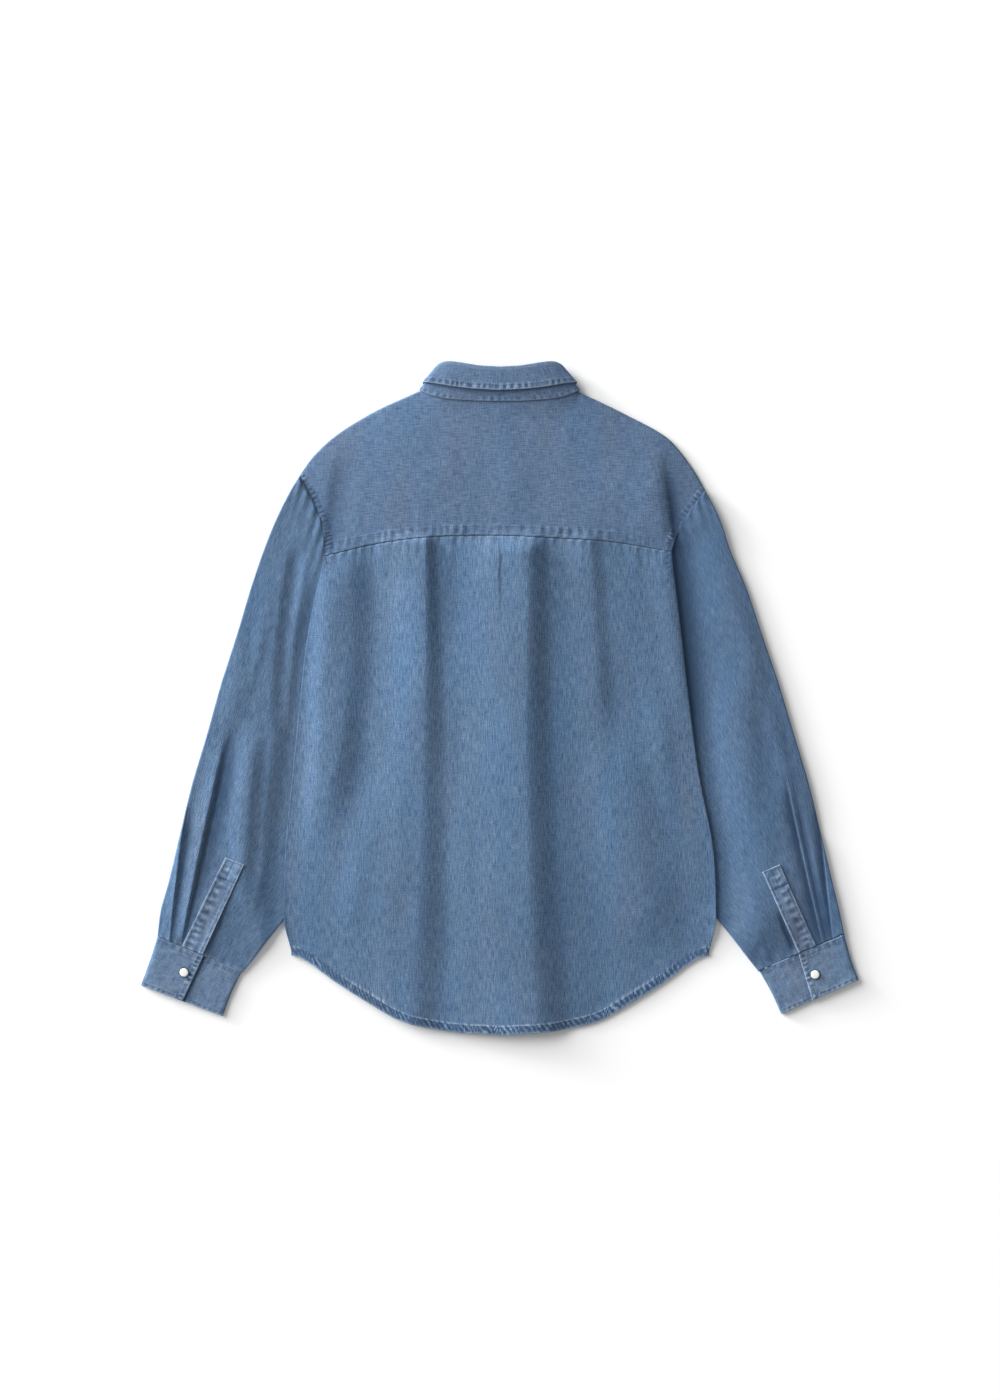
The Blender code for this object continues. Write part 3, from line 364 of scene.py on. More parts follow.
BODY_CREASES = (  # fainter creases between the folds, and gathers under the yoke
    Fold(-56, 190, -60, 118, 0, 9, 8, 1.2, 0.6, 0.06, 0.60),
    Fold(-12, 188, -8, 118, 0, 9, 8, 1.2, 0.4, 0.10, 0.60),
    Fold(24, 188, 28, 140, 0, 7, 7, 1.0, 0.4, 0.10, 0.60),
    Fold(62, 188, 66, 150, 0, 8, 6, 1.0, 0.5, 0.10, 0.60),
    Fold(-134, 184, -140, 110, 2, 9, 8, 1.2, 0.5, 0.10, 0.70),
    Fold(150, 178, 158, 120, 2, 9, 8, 1.0, 0.5, 0.10, 0.70),
    Fold(-60, 60, -66, -180, 3, 22, 16, 1.0, 0.7, 0.40, 0.40),
    Fold(-40, -60, -38, -330, -4, 24, 18, 1.0, 0.8, 0.40, 0.30),
    Fold(112, 60, 122, -160, -5, 26, 22, 1.0, 0.7, 0.40, 0.40),
    Fold(-150, -90, -178, -290, 4, 26, 20, 1.0, 0.9, 0.40, 0.30),
    Fold(172, 60, 190, -150, 4, 22, 18, 1.0, 0.8, 0.40, 0.40),
)
SLEEVE_CREASES = {
    LEFT: (
        Fold(-262, 120, -318, -60, 5, 14, 12, 1.0, 0.9, 0.40, 0.40),
        Fold(-232, 60, -240, -120, 2, 14, 12, 1.0, 0.9, 0.40, 0.40),
        Fold(-262, -150, -292, -262, 3, 14, 11, 1.0, 1.0, 0.35, 0.30),
        Fold(-330, -190, -352, -284, 2, 10, 8, 1.0, 0.7, 0.40, 0.25),
    ),
    RIGHT: (
        Fold(262, 150, 300, -20, 4, 18, 16, 1.0, 0.8, 0.40, 0.40),
        Fold(303, 10, 335, -140, 4, 16, 14, 1.0, 0.9, 0.40, 0.40),
        Fold(268, -140, 300, -262, -3, 16, 12, 1.0, 1.0, 0.35, 0.30),
        Fold(322, -205, 340, -284, 2, 10, 8, 1.0, 0.7, 0.40, 0.25),
    ),
}

# ---- collar: half the neck loop, from the centre back round to the centre front -----------------
Loop = namedtuple("Loop", "step seam_x seam_y roll_x roll_y seam_z roll_z edge_x edge_y flare")
COLLAR = (
    Loop(0.0, 0.0, 340.2, 0.0, 380.0, 11.6, 14.1, 0.0, 353.0, 1.8),
    Loop(1.0, 32.0, 341.0, 24.0, 381.4, 11.4, 13.9, 31.0, 354.6, 1.4),
    Loop(2.0, 60.0, 343.2, 45.0, 384.8, 10.8, 13.4, 58.0, 358.0, 0.8),
    Loop(3.0, 80.0, 347.9, 60.0, 386.3, 9.5, 11.7, 76.0, 361.0, 0.7),
    Loop(3.5, 89.0, 351.8, 67.0, 384.6, 8.2, 9.8, 83.5, 361.6, 1.0),
    Loop(4.0, 92.5, 354.2, 70.0, 381.6, 6.2, 7.2, 86.5, 360.6, 1.3),
    Loop(4.5, 91.0, 352.0, 69.0, 377.8, 3.4, 3.9, 86.8, 357.0, 0.8),
    Loop(5.0, 84.5, 337.4, 65.0, 369.5, 1.9, 2.0, 88.0, 341.0, 0.0),
    Loop(6.0, 62.0, 310.8, 51.0, 344.0, 1.7, 1.7, 84.0, 305.0, 0.0),
    Loop(7.0, 32.0, 285.8, 32.0, 321.0, 1.7, 1.7, 70.0, 278.0, 0.0),
    Loop(8.0, 0.0, 276.6, 17.0, 311.0, 1.7, 1.7, 55.0, 258.0, 0.0),
)
BACK_NECK_STEP, FRONT_NECK_STEP = 3.4, 5.0
STAND_LAP = 10.0
STAND_LAP_LIFT, STAND_LAP_RAMP = 1.6, 6.0
STAND_LAP_GAP = 0.35
STAND_FRONT_DROP = 10.0
STAND_BACK_STEPS, FALL_BACK_STEPS = 3.8, 4.2         # the part of the loop that is seen
STEP_LENGTH = 22.0
FALL_LEAF = 27.0
STAND_STITCH_UP = 0.17
FALL_OVER = 1.6
ROLL_RADIUS = (FALL_OVER + CLOTH) / 2
FALL_RISE = 4.0
STAND_GAP = 1.5

BAND_HALF = 17.5
LEFT_FRONT_LAP = 12.0
FIRST_STEP_WIDTH = 34.0
FRONT_HEM_UP = 3.0
SNAP_RADIUS, SNAP_STEPS = 5.2, 40
FRONT_SNAPS = 6
FRONT_SNAP_TOP, FRONT_SNAP_PITCH = 222.0, 92.0
STAND_SNAP_Y = 286.0
FRONT_SNAP_HEIGHT = 1.3
CUFF_SNAP_HEIGHT = 1.9

# ---- cut sizes of the panels, in metres: width, length and flat area ----------------------------
Cut = namedtuple("Cut", "width length area")
CUTS = {
    "back": Cut(0.500, 0.580, 0.250),
    "yoke": Cut(0.480, 0.190, 0.070),
    "front_left": Cut(0.265, 0.740, 0.160),
    "front_right": Cut(0.230, 0.740, 0.138),
    "front_band": Cut(0.035, 0.665, 0.0230),
    "sleeve": Cut(0.365, 0.560, 0.150),
    "placket": Cut(0.025, 0.112, 0.0026),
    "cuff": Cut(0.230, 0.062, 0.0140),
    "collar": Cut(0.400, 0.045, 0.0150),
    "stand": Cut(0.380, 0.036, 0.0125),
}

# the last field is each spot's tone: pale rubbing, deep unfaded seams, painted shade and painted
# shadows
Surface = namedtuple("Surface", "x y z worn")


# ---- what a user would change -------------------------------------------------------------------
def size(name, description, default):
    return bpy.props.FloatProperty(name=name, description=description, default=default * MM,
                                   min=0.0, unit="LENGTH", precision=5)


def tone(name, description, default):
    return bpy.props.FloatVectorProperty(name=name, description=description, default=default,
                                         subtype="COLOR", min=0.0, max=1.0)


class ShirtSizes(bpy.types.PropertyGroup):
    seam_band: size("Seam band", "Width from a seam to its topstitching", 9.0)
    hem_band: size("Hem band", "Depth of the rolled hem", 9.0)
    trim_band: size("Trim band", "Edge to stitching on collar and cuffs", 6.0)
    pucker: size("Pucker", "Height of the puckers along a seam", 0.42)
    pucker_pitch: size("Pucker pitch", "Distance between puckers along a seam", 10.0)
    roping_pitch: size("Roping pitch", "Distance between the slanting ripples of the hem", 5.6)
    seam_lift: size("Seam lift", "How much a seam's allowance lifts the cloth", 0.5)
    unevenness: size("Unevenness", "Height of the soft waves all over", 0.45)
    stitch: size("Stitch", "Length of a stitch that shows", 2.3)
    stitch_pitch: size("Stitch pitch", "Distance from stitch to stitch", 3.2)
    thread: size("Thread", "Thickness of the sewing thread", 0.5)


class ShirtColours(bpy.types.PropertyGroup):
    warp: tone("Warp", "Indigo of the washed warp yarn", (0.028, 0.081, 0.182))
    weft: tone("Weft", "Pale yarn that shows through", (0.150, 0.229, 0.338))
    yoke: tone("Yoke", "Greyer indigo of the cross-cut panels", (0.043, 0.086, 0.184))
    # the pale colour of rubbed cloth, at the pale end of each spot's tone
    worn: tone("Worn", "Cloth rubbed pale along edges and seams", (0.290, 0.375, 0.480))
    # deep is also the colour of the painted shade and painted shadows, not only of unfaded seams
    deep: tone("Deep", "Unfaded indigo in the hollows of the seams", (0.028, 0.062, 0.130))
    thread: tone("Thread", "Tonal sewing thread", (0.120, 0.190, 0.300))
    pearl: tone("Pearl", "Cap of a snap", (0.86, 0.86, 0.82))
    # the ring's colour is kept dark: partly its metal, partly a painted shadow round the cap
    rim: tone("Rim", "Metal ring round a snap", (0.36, 0.37, 0.37))
    floor: tone("Floor", "Surface that the shirt lies on", (0.95, 0.95, 0.95))


def sizes():
    return bpy.context.scene.shirt_sizes


def colours():
    return bpy.context.scene.shirt_colours


# ---- small helpers ------------------------------------------------------------------------------
def ramp(value):
    """0 to 1 with soft ends."""
    value = np.clip(value, 0.0, 1.0)
    return value * value * (3 - 2 * value)


def mix(first, second, share):
    return first + (second - first) * share


def slopes(table):
    """Slope of every column at every row: none at a peak, so that curves don't overshoot."""
    widths = np.diff(table[:, :1], axis=0)
    rises = np.diff(table, axis=0) / widths
    before, after = rises[:-1], rises[1:]
    mean = (before * widths[1:] + after * widths[:-1]) / (widths[1:] + widths[:-1])
    steepest = 3 * np.minimum(abs(before), abs(after))
    inner = np.where(before * after <= 0, 0.0, np.clip(mean, -steepest, steepest))
    return np.vstack([rises[:1], inner, rises[-1:]])


def at(rows, key):
    """A row of arrays: every column at each value of the first one, smooth through the rows."""
    table = np.array(rows, float)
    keys = table[:, 0]
    key = np.clip(key, keys[0], keys[-1])
    index = np.clip(np.searchsorted(keys, key, side="right") - 1, 0, len(keys) - 2)
    span = (keys[index + 1] - keys[index])[..., None]
    part = (key - keys[index])[..., None] / span
    grade = slopes(table)
    bend = (1 - part) * grade[index] - part * grade[index + 1]
    values = mix(table[index], table[index + 1], ramp(part)) + part * (1 - part) * bend * span
    return type(rows[0])(*np.moveaxis(values, -1, 0))


def rolled(distance, radius):
    """0 to 1 up a rounded edge, standing upright at its foot."""
    inside = 1 - np.clip(distance / radius, 0.0, 1.0)
    return np.sqrt(np.maximum(0.0, 1 - inside * inside))


def reach(distance, length):
    """0 to 1, rising fast and then slowly."""
    return 1 - np.exp(-np.maximum(distance, 0.0) / length)


def bump(distance, width):
    """A soft ridge of height 1 over the line where the distance is 0."""
    return np.exp(-(distance / width) ** 2)


def pick(row, side):
    return row.left if side == LEFT else row.right


def pick_pair(row, side):
    """A spot of a Pair table."""
    return np.where(side == LEFT, -row.left_x + 1j * row.left_y, row.right_x + 1j * row.right_y)


def edge_tone(away, *lines):
    """Tone beside an edge, at a distance from it. Each line gives its own: rubbing, unfaded seams,
    painted shade, painted shadows.
    """
    return sum(line.tone * bump(away - line.place, line.width) for line in lines)


def from_line(spot, start, end):
    """How far a spot on the plan is along a line, and how far to the line's left."""
    run = (end - start) / abs(end - start)
    turned = (spot - start) * run.conjugate()
    return turned.real, turned.imag


def run_length(places):
    """Length along a row of places, from the first of them to each."""
    steps = np.linalg.norm(np.diff(places, axis=0), axis=-1)
    return np.concatenate([[0.0], np.cumsum(steps)])


def even(count, low=0.0, high=1.0):
    return np.linspace(low, high, count + 1)


def spread(*stretches):
    """Rising values: each stretch gives how many steps it has and the value that it ends at."""
    values = [0.0]
    for count, end in stretches:
        values += list(even(count, values[-1], end))[1:]
    return np.array(values)


def patches(x, y, width, seed):
    """Smooth random values from -1 to 1 that change over about a width of millimetres."""
    lattice = np.random.default_rng(seed).uniform(-1, 1, (64, 64))
    column, row = x / width + 640.5, y / width + 640.5
    left, low = np.floor(column).astype(int), np.floor(row).astype(int)
    across, up = ramp(column - left), ramp(row - low)
    near = mix(lattice[left % 64, low % 64], lattice[(left + 1) % 64, low % 64], across)
    far = mix(lattice[left % 64, (low + 1) % 64], lattice[(left + 1) % 64, (low + 1) % 64], across)
    return mix(near, far, up)


def unevenness(x, y, seed):
    """The soft waves that cloth has wherever it isn't pulled."""
    wide = patches(x, y * 0.45, 34.0, seed) + 0.5 * patches(x, y * 0.6, 17.0, seed + 1)
    return sizes().unevenness / MM * (wide + 0.22 * patches(x, y, 8.0, seed + 2))


# ---- seams --------------------------------------------------------------------------------------
def seam_band(along, away, width, seed, slant=0.0, pitch=None, strength=1.0, ridge=0.35):
    """Height and wear of a topstitched band: away is the distance in from its edge.

    The allowance inside lifts the band, the stitches pull a groove at its far side, and the
    cloth puckers between them; the puckers' tops and the very edge are rubbed pale.
    """
    pitch = pitch or sizes().pucker_pitch / MM
    flat = away * 0
    phase = along / pitch + slant * away / pitch + 0.8 * patches(along, flat, 2.1 * pitch, seed)
    uneven = 0.45 + 0.55 * patches(along, flat, 1.5 * pitch, seed + 1)
    inside = ramp(away / 1.6 + 0.25) * (1 - ramp((away - width) / 3.0))
    wave = np.sin(2 * math.pi * phase) + 0.8 * patches(along, away * 0.6, 0.33 * pitch, seed + 3)
    lift = sizes().seam_lift / MM * (1 - ramp((away - width) / 2.2))
    groove = -0.22 * bump(away - width, 0.9)
    height = lift + groove + sizes().pucker / MM * strength * uneven * wave * inside
    nearer = bump(away - width * 0.7, width * 0.5)
    rubbed = (1.3 * np.clip(wave * uneven, -0.8, 0.6) - 0.15) * strength * inside * nearer
    edge = (0.7 + 0.4 * patches(along, away, 5.0, seed + 2)) * bump(away - 0.3, 1.3)
    broken = 0.6 + 0.6 * patches(along, flat, 2.4, seed + 4)
    stitching = ridge * bump(away - width - 0.9, 0.9) - 0.45 * bump(away - width + 0.6, 0.8)
    return height, np.clip(rubbed + edge + broken * stitching, -1, 1)


def gathers(along, away, length, seed, height=0.35):
    """Small tucks that run away from a seam and fade, each with a length of its own."""
    pitch = sizes().pucker_pitch / MM * 1.1
    phase = along / pitch + 0.5 * patches(along, away * 0, 30.0, seed)
    own = np.maximum(2.0, length * (0.65 + 0.5 * patches(along, away * 0, 14.0, seed + 1)))
    return height * np.sin(2 * math.pi * phase) * np.exp(-np.maximum(away, 0) / own)


# ---- folds and heights --------------------------------------------------------------------------
def fold_height(fold, x, y, crisp=False):
    run_x, run_y = fold.end_x - fold.x, fold.end_y - fold.y
    length = math.hypot(run_x, run_y)
    along = ((x - fold.x) * run_x + (y - fold.y) * run_y) / (length * length)
    across = ((y - fold.y) * run_x - (x - fold.x) * run_y) / length
    across = across - fold.bow * 4 * along * (1 - along)
    width = np.where(across > 0, fold.right, fold.left) * mix(1.0, fold.flare, along)
    share = np.clip(abs(across) / np.maximum(width, 1.0), 0.0, 1.0)
    profile = 0.5 + 0.5 * np.cos(math.pi * share)
    if crisp:
        profile = np.where((across > 0) == (fold.right < fold.left), 1 - share, (1 - share) ** 1.6)
    ends = ramp(along / fold.begin) * ramp((1 - along) / fold.finish)
    return np.where((along > 0) & (along < 1), fold.height * ends * profile, 0.0)


def relief(folds, x, y, crisp=False):
    return sum(fold_height(fold, x, y, crisp) for fold in folds)


def side_edge(side, y):
    return pick(at(SIDES, y), side)


def body_x(across, y):
    row = at(SIDES, y)
    return (row.right - row.left) / 2 + across * (row.right + row.left) / 2


def sleeve_below(y):
    """1 where a sleeve lies under the body's side, 0 under the hem corners."""
    return ramp((y - SLEEVE_OUT_Y) / SLEEVE_OUT_FADE)


def sewn_on(side, y):
    """1 at the armhole, where a sleeve is sewn to the body, 0 where it lies loose below it."""
    return ramp((y - HUG_FROM[side]) / HUG_OVER[side])


def armhole_run(side, x, y):
    """Length along the yoke's armhole, measured on its chord."""
    foot = pick_pair(at(ARMHOLE, ARMHOLE_SHARE), side)
    return from_line(x + 1j * y, foot, pick_pair(ARMHOLE[0], side))[0]


def neck_lift(x, y):
    """The fronts ride over the collar leaves in an oval round the neck."""
    oval = np.hypot(x / NECK_OVAL[0], (y - NECK_OVAL_Y) / NECK_OVAL[1])
    return NECK_LIFT * (1 - ramp((oval - 1.0) / NECK_OVAL_FADE))


def side_rim(y, from_side):
    """Foot of the body's rolled side edge; farther in, the step past the sleeves is gentle."""
    gentle = ramp((y - SIDE_STEP_Y) / SIDE_STEP_FADE)
    beside = mix(sleeve_below(y), gentle, rolled(from_side, SIDE_STEP_REACH))
    return CLOTH + RIM_GAP + FRONT_OVER_SLEEVE * beside


def body_height(x, y, from_side, from_shoulder, from_hem):
    """Outer face of back and yoke. The last three are distances from their edges."""
    hug = 1 - np.where(x < 0, sewn_on(LEFT, y), sewn_on(RIGHT, y))
    edge = mix(ARMHOLE_TOP, side_rim(y, from_side), hug)
    height = edge + SIDE_ROLL * hug * rolled(from_side, SIDE_ROLL)
    height = height + LOFT * reach(from_side, LOFT_REACH)
    foot = CLOTH + RIM_GAP
    share = mix(HEM_SHARE, 1.0, reach(from_hem, HEM_REACH))
    height = foot + (height - foot) * mix(1.0, share, rolled(from_side, HEM_SHARE_INSET))
    folds = relief(BODY_FOLDS, x, y) + relief(BODY_CREASES, x, y) + unevenness(x, y, 11)
    height = height + folds * rolled(from_side, FOLD_INSET)
    height = height + relief(HOLLOWS, x, y) * (1 - hug)
    rim = foot + neck_lift(x, y)
    share = mix(reach(from_shoulder, SHOULDER_REACH), rolled(from_shoulder, SHOULDER_ROLL),
                SHOULDER_ROLL_SHARE)
    return rim + (height - rim) * share


def cuff_seam(side, spot):
    """How far a spot is along the cuff's seam, and how far up the sleeve from it."""
    along, beside = from_line(spot, CUFFS[side].top_outer, CUFFS[side].top_inner)
    return along, abs(beside)


def sleeve_height(side, x, y):
    """Outer face of a sleeve's upper wall."""
    spot = side * x + 1j * y
    outside = spot.real - side_edge(side, y)
    clearing = at(SLEEVE_CLEARING[side], y)
    clear = ramp((outside - clearing.begin) / clearing.length)
    clear = 1 - (1 - clear) * (1 - sewn_on(side, y))
    inward = pick(at(SLEEVE_OUTER, y), side) - spot.real
    free = SLEEVE_EDGE + SLEEVE_CROWN[side] * reach(inward, CROWN_REACH)
    tilted = np.minimum(inward, SLEEVE_TILT_REACH) - SLEEVE_TILT_REACH / 2
    free = free + SLEEVE_TILT[side] * tilted
    free = mix(free, ARMHOLE_TOP, ramp((y - HEAD_FROM) / HEAD_OVER))
    folds = relief(SLEEVE_FOLDS[side] + SLEEVE_CREASES[side], x, y)
    folds = folds + relief(PLEATS[side], x, y, crisp=True)
    folds = folds + unevenness(x, y, seed=31) * ramp(inward / EVEN_EDGE)
    along_cuff, up_sleeve = cuff_seam(side, spot)
    tucks = gathers((spot * CUFF_WAY.conjugate()).real, up_sleeve, 17.0, seed=41, height=0.30)
    crumple = patches(x, y * 0.7, CRUMPLE_WIDTH, seed=47) * np.exp(-up_sleeve / CRUMPLE_REACH)
    lap = CUFF_LAP[side][0] * abs(CUFFS[side].top_inner - CUFFS[side].top_outer)
    at_cuff = mix(CUFF_TOP, CUFF_UNDER + CUFF_SWELL, ramp((along_cuff - lap) / CUFF_LAP_RAMP))
    free = mix(at_cuff + folds * FOLDS_AT_CUFF, free + folds, ramp(up_sleeve / CUFF_FADE))
    free = free + tucks + CRUMPLE * crumple + relief(HOLLOWS, x, y) * HOLLOW_ON_SLEEVE
    beside = mix(SLEEVE_UNDER, SLEEVE_BESIDE[side], ramp(outside / SLEEVE_BESIDE_RAMP + 1))
    return mix(beside, free, clear)


def front_height(side, x, y):
    """Lower (outer) face of a front panel."""
    out = side * x
    inner = pick(at(SLEEVE_INNER, y), side)
    over = ramp((out - inner + FRONT_RAMP + FRONT_LEAD) / FRONT_RAMP)
    over = over * sleeve_below(y) * (1 - ramp((y - UNDERARM_Y) / UNDERARM_FADE))
    band = BAND_LIFT if side == RIGHT else LAP_LIFT
    band = band * (1 - ramp((out - BAND_HALF - BAND_RAMP_FROM) / BAND_RAMP))
    return np.maximum(np.maximum(FRONT_OVER_SLEEVE * over, neck_lift(x, y)), band)


# ---- surfaces of the panels ---------------------------------------------------------------------
def hem_y(across):
    return at(HEM, abs(across)).y


def hem_slant(across):
    """Cosine of the hem's slope, which turns a height into a distance from the hem."""
    step = 0.01
    rise = (hem_y(across + step) - hem_y(across - step)) / (step * (SIDES[0].left + SIDES[0].right))
    return 1 / np.sqrt(1 + rise * rise)


def hem_run(across):
    """Length along the hem from the middle."""
    samples = even(400, -1.0, 1.0)
    pieces = np.gradient(samples) * SIDES[0].left / hem_slant(samples)
    return np.interp(across, samples, np.cumsum(pieces))


def back_surface(across, up):
    top, low = at(YOKE_SEAM, across).y + YOKE_TUCK, hem_y(across)
    y = mix(low, top, up)
    x = body_x(across, y)
    from_side = (1 - abs(across)) * (body_x(1, y) - body_x(-1, y)) / 2
    from_yoke, from_hem = top - y, (y - low) * hem_slant(across)
    hem_width = sizes().hem_band / MM
    lift, worn = seam_band(hem_run(across), from_hem, hem_width, seed=3, slant=0.7,
                           pitch=sizes().roping_pitch / MM, strength=1.3, ridge=0.9)
    calm_edge = rolled(from_side, 3.0)
    worn = (worn * 1.6 + edge_tone(from_hem / hem_width, HEM_MIDDLE_WEAR)) * calm_edge
    z = body_height(x, y, from_side, FAR, y - low) + (lift - HEM_SINK) * calm_edge
    tuck = gathers(x, from_yoke, 13.0, seed=5, height=0.5)
    z = z + tuck * rolled(from_side, 10.0) * ramp(from_yoke / 4.0)
    z = z - YOKE_SINK * ramp(1 - (from_yoke - YOKE_TUCK) / YOKE_SINK_FADE)
    worn = worn + 0.3 * tuck * bump(from_yoke, 12.0) + edge_tone(from_yoke, UNDER_YOKE_WEAR)
    sewn = ramp((y - UNDERARM_Y) / 20.0)
    lift, rubbed = seam_band(y, from_side, sizes().seam_band / MM, seed=7, slant=0.5, pitch=6.4)
    # painted shade along the body's lit side edge
    worn = worn + np.minimum(rubbed, 0.1) * sewn * 0.5 + edge_tone(from_side, SIDE_EDGE_SHADE)
    return Surface(x, y, z + lift * sewn * 0.4, worn)


def back_neck(across):
    """How far round the back neck a column is, from 0 to 1 and on, and the collar's row there."""
    part = abs(across) / (1 - 2 * NECK_SHARE)
    return part, at(COLLAR, BACK_NECK_STEP * np.minimum(1.0, part / NECK_TURN))


def yoke_top(across):
    """A spot of the yoke's upper edge: shoulder, neck, shoulder."""
    column = (1 - abs(across)) / 2
    side = np.where(across < 0, LEFT, RIGHT)
    shoulder = pick_pair(at(SHOULDER, np.clip(column / NECK_SHARE, 0, 1)), side)
    part, seam = back_neck(across)
    spot = side * seam.seam_x + 1j * (seam.seam_y + NECK_TUCK)
    turn = np.maximum(0.0, part - NECK_TURN) / (1 - NECK_TURN)
    return np.where(column < NECK_SHARE, shoulder, mix(spot, pick_pair(SHOULDER[-1], side), turn))


def yoke_surface(across, up):
    seam = at(YOKE_SEAM, across).y + SEAM_GAP / 2
    foot, top = body_x(across, seam) + 1j * seam, yoke_top(across)
    spot = mix(foot, top, up)
    column = (1 - abs(across)) / 2
    near_side = np.maximum(0.0, 1 - column / NECK_SHARE)
    armhole_row = at(ARMHOLE, ARMHOLE_SHARE * (1 - up))
    corner_row = at(ARMHOLE, ARMHOLE_SHARE)
    for side in (LEFT, RIGHT):
        chord = mix(pick_pair(corner_row, side), pick_pair(ARMHOLE[0], side), up)
        bend = (pick_pair(armhole_row, side) - chord) * near_side
        spot = spot + np.where(across * side > 0, bend, 0)
    x, y = spot.real, spot.imag
    from_top = (1 - up) * abs(top - foot)
    from_shoulder = np.hypot(from_top, np.maximum(0.0, column - NECK_SHARE) * YOKE_WIDTH)
    from_side, from_seam = column * YOKE_WIDTH, y - seam
    band = sizes().seam_band / MM
    lift, worn = seam_band(x, from_seam, band * YOKE_BAND, seed=13, pitch=10.5, strength=0.8,
                           ridge=0.15)
    worn = np.where(worn > 0, worn * 0.25, worn * 0.7)
    z = body_height(x, y, from_side, from_shoulder, FAR) + lift
    z = z + 0.35 * gathers(x, from_seam - 8.0, 14.0, seed=17) * ramp(from_seam / 9.0)
    from_armhole = from_side * (1 + ARMHOLE_SPREAD * up)
    run = np.where(x < 0, armhole_run(LEFT, x, y), armhole_run(RIGHT, x, y))
    lift, rubbed = seam_band(run, from_armhole, band, seed=19, pitch=5.2, strength=1.4)
    rubbed = np.minimum(rubbed, 0.42) + edge_tone(from_armhole, YOKE_ARMHOLE_WEAR)
    beside = ramp((from_seam - 4.0) / 8.0)
    z = z + lift * 0.9 * beside * rolled(from_top, 12.0)
    from_neck = np.where(column > NECK_SHARE, from_top, FAR)
    held = (1 - ramp(from_neck / NECK_EASE)) * ramp((column - NECK_SHARE) / 0.03)
    z = mix(z, back_neck(across)[1].seam_z - STAND_OVER, held)
    # painted shade in the hollows beside the armholes
    worn = worn + rubbed * beside + HOLLOW_SHADE * np.minimum(relief(HOLLOWS, x, y), 0.0)
    # painted shade along the rolled shoulder edge
    worn = worn + edge_tone(from_neck, YOKE_NECK_WEAR) + edge_tone(from_shoulder, YOKE_SHOULDER_SHADE)
    return Surface(x, y, z, worn)


def front_inner_x(side):
    return BAND_HALF + SEAM_GAP if side == RIGHT else -LEFT_FRONT_LAP


def front_outer(side, up):
    """A front's outer edge: side seam, then armhole up to the shoulder tip."""
    tip = pick_pair(ARMHOLE[0], side)
    y = mix(HEM[-1].y + FRONT_HEM_UP, tip.imag, up)
    seam = side_edge(side, y) - FRONT_INSET
    spots = [pick_pair(row, side) for row in ARMHOLE[::-1]]
    armhole = at([Curve(spot.imag, abs(spot.real)) for spot in spots], y).y
    turned = ramp((y - FRONT_ARMHOLE_FROM) / FRONT_ARMHOLE_OVER)
    return side * mix(seam, armhole, turned) + 1j * y


def front_surface(side, across, up):
    """across runs from the centre front (0) to the side seam (1); these are its lower points."""
    inner_x = front_inner_x(side)
    first = COLLAR[-1].step - inner_x / FIRST_STEP_WIDTH

    def lower(share):
        width = side_edge(side, HEM[-1].y)
        x = mix(inner_x, width - FRONT_INSET, share)
        return side * x + 1j * (hem_y(x / width) + FRONT_HEM_UP)

    def upper(share):
        beyond = (share - FRONT_NECK_SHARE) / (1 - FRONT_NECK_SHARE)
        shoulder = pick_pair(at(SHOULDER, 1 - np.clip(beyond, 0, 1)), side)
        part = np.clip(share / FRONT_NECK_SHARE, 0, 1)
        seam = at(COLLAR, mix(first, FRONT_NECK_STEP, np.minimum(1.0, part / NECK_TURN)))
        x = np.where(part > 0, seam.seam_x, inner_x)
        spot = side * x + 1j * (seam.seam_y - FRONT_NECK_GAP)
        turn = np.maximum(0.0, part - NECK_TURN) / (1 - NECK_TURN)
        neck = mix(spot, pick_pair(SHOULDER[-1], side), turn)
        return np.where(share > FRONT_NECK_SHARE, shoulder, neck)

    zero, one = across * 0.0, across * 0.0 + 1.0

    def inner(share):
        return side * inner_x + 1j * mix(lower(zero).imag, upper(zero).imag, share)

    spot = mix(lower(across), upper(across), up) + mix(inner(up), front_outer(side, up), across)
    low = mix(inner(zero), front_outer(side, zero), across)
    high = mix(inner(one), front_outer(side, one), across)
    spot = spot - mix(low, high, up)
    x, y = spot.real, spot.imag
    from_side, from_hem = (1 - across) * FRONT_WIDTH, up * FRONT_LENGTH
    worn = edge_tone(from_side, FRONT_EDGE_WEAR) + edge_tone(from_hem, FRONT_EDGE_WEAR)
    return Surface(x, y, front_height(side, x, y), worn)


def band_surface(across, up):
    x = across * BAND_HALF
    low = hem_y(x / SIDES[0].left) + FRONT_HEM_UP
    y = mix(low, COLLAR[-1].seam_y - FRONT_NECK_GAP, up)
    worn = edge_tone((1 - abs(across)) * BAND_HALF, BAND_EDGE_WEAR)
    return Surface(x, y, BAND_LIFT + 0 * x, worn)


def sleeve_ends(side, part):
    row = at(SLEEVE_SECTIONS, part)
    outer_y = row.outer_left if side == LEFT else row.outer_right
    inner_y = row.inner_left if side == LEFT else row.inner_right
    outer = side * pick(at(SLEEVE_OUTER, outer_y), side) + 1j * outer_y
    inner = side * pick(at(SLEEVE_INNER, inner_y), side) + 1j * inner_y
    return outer, inner


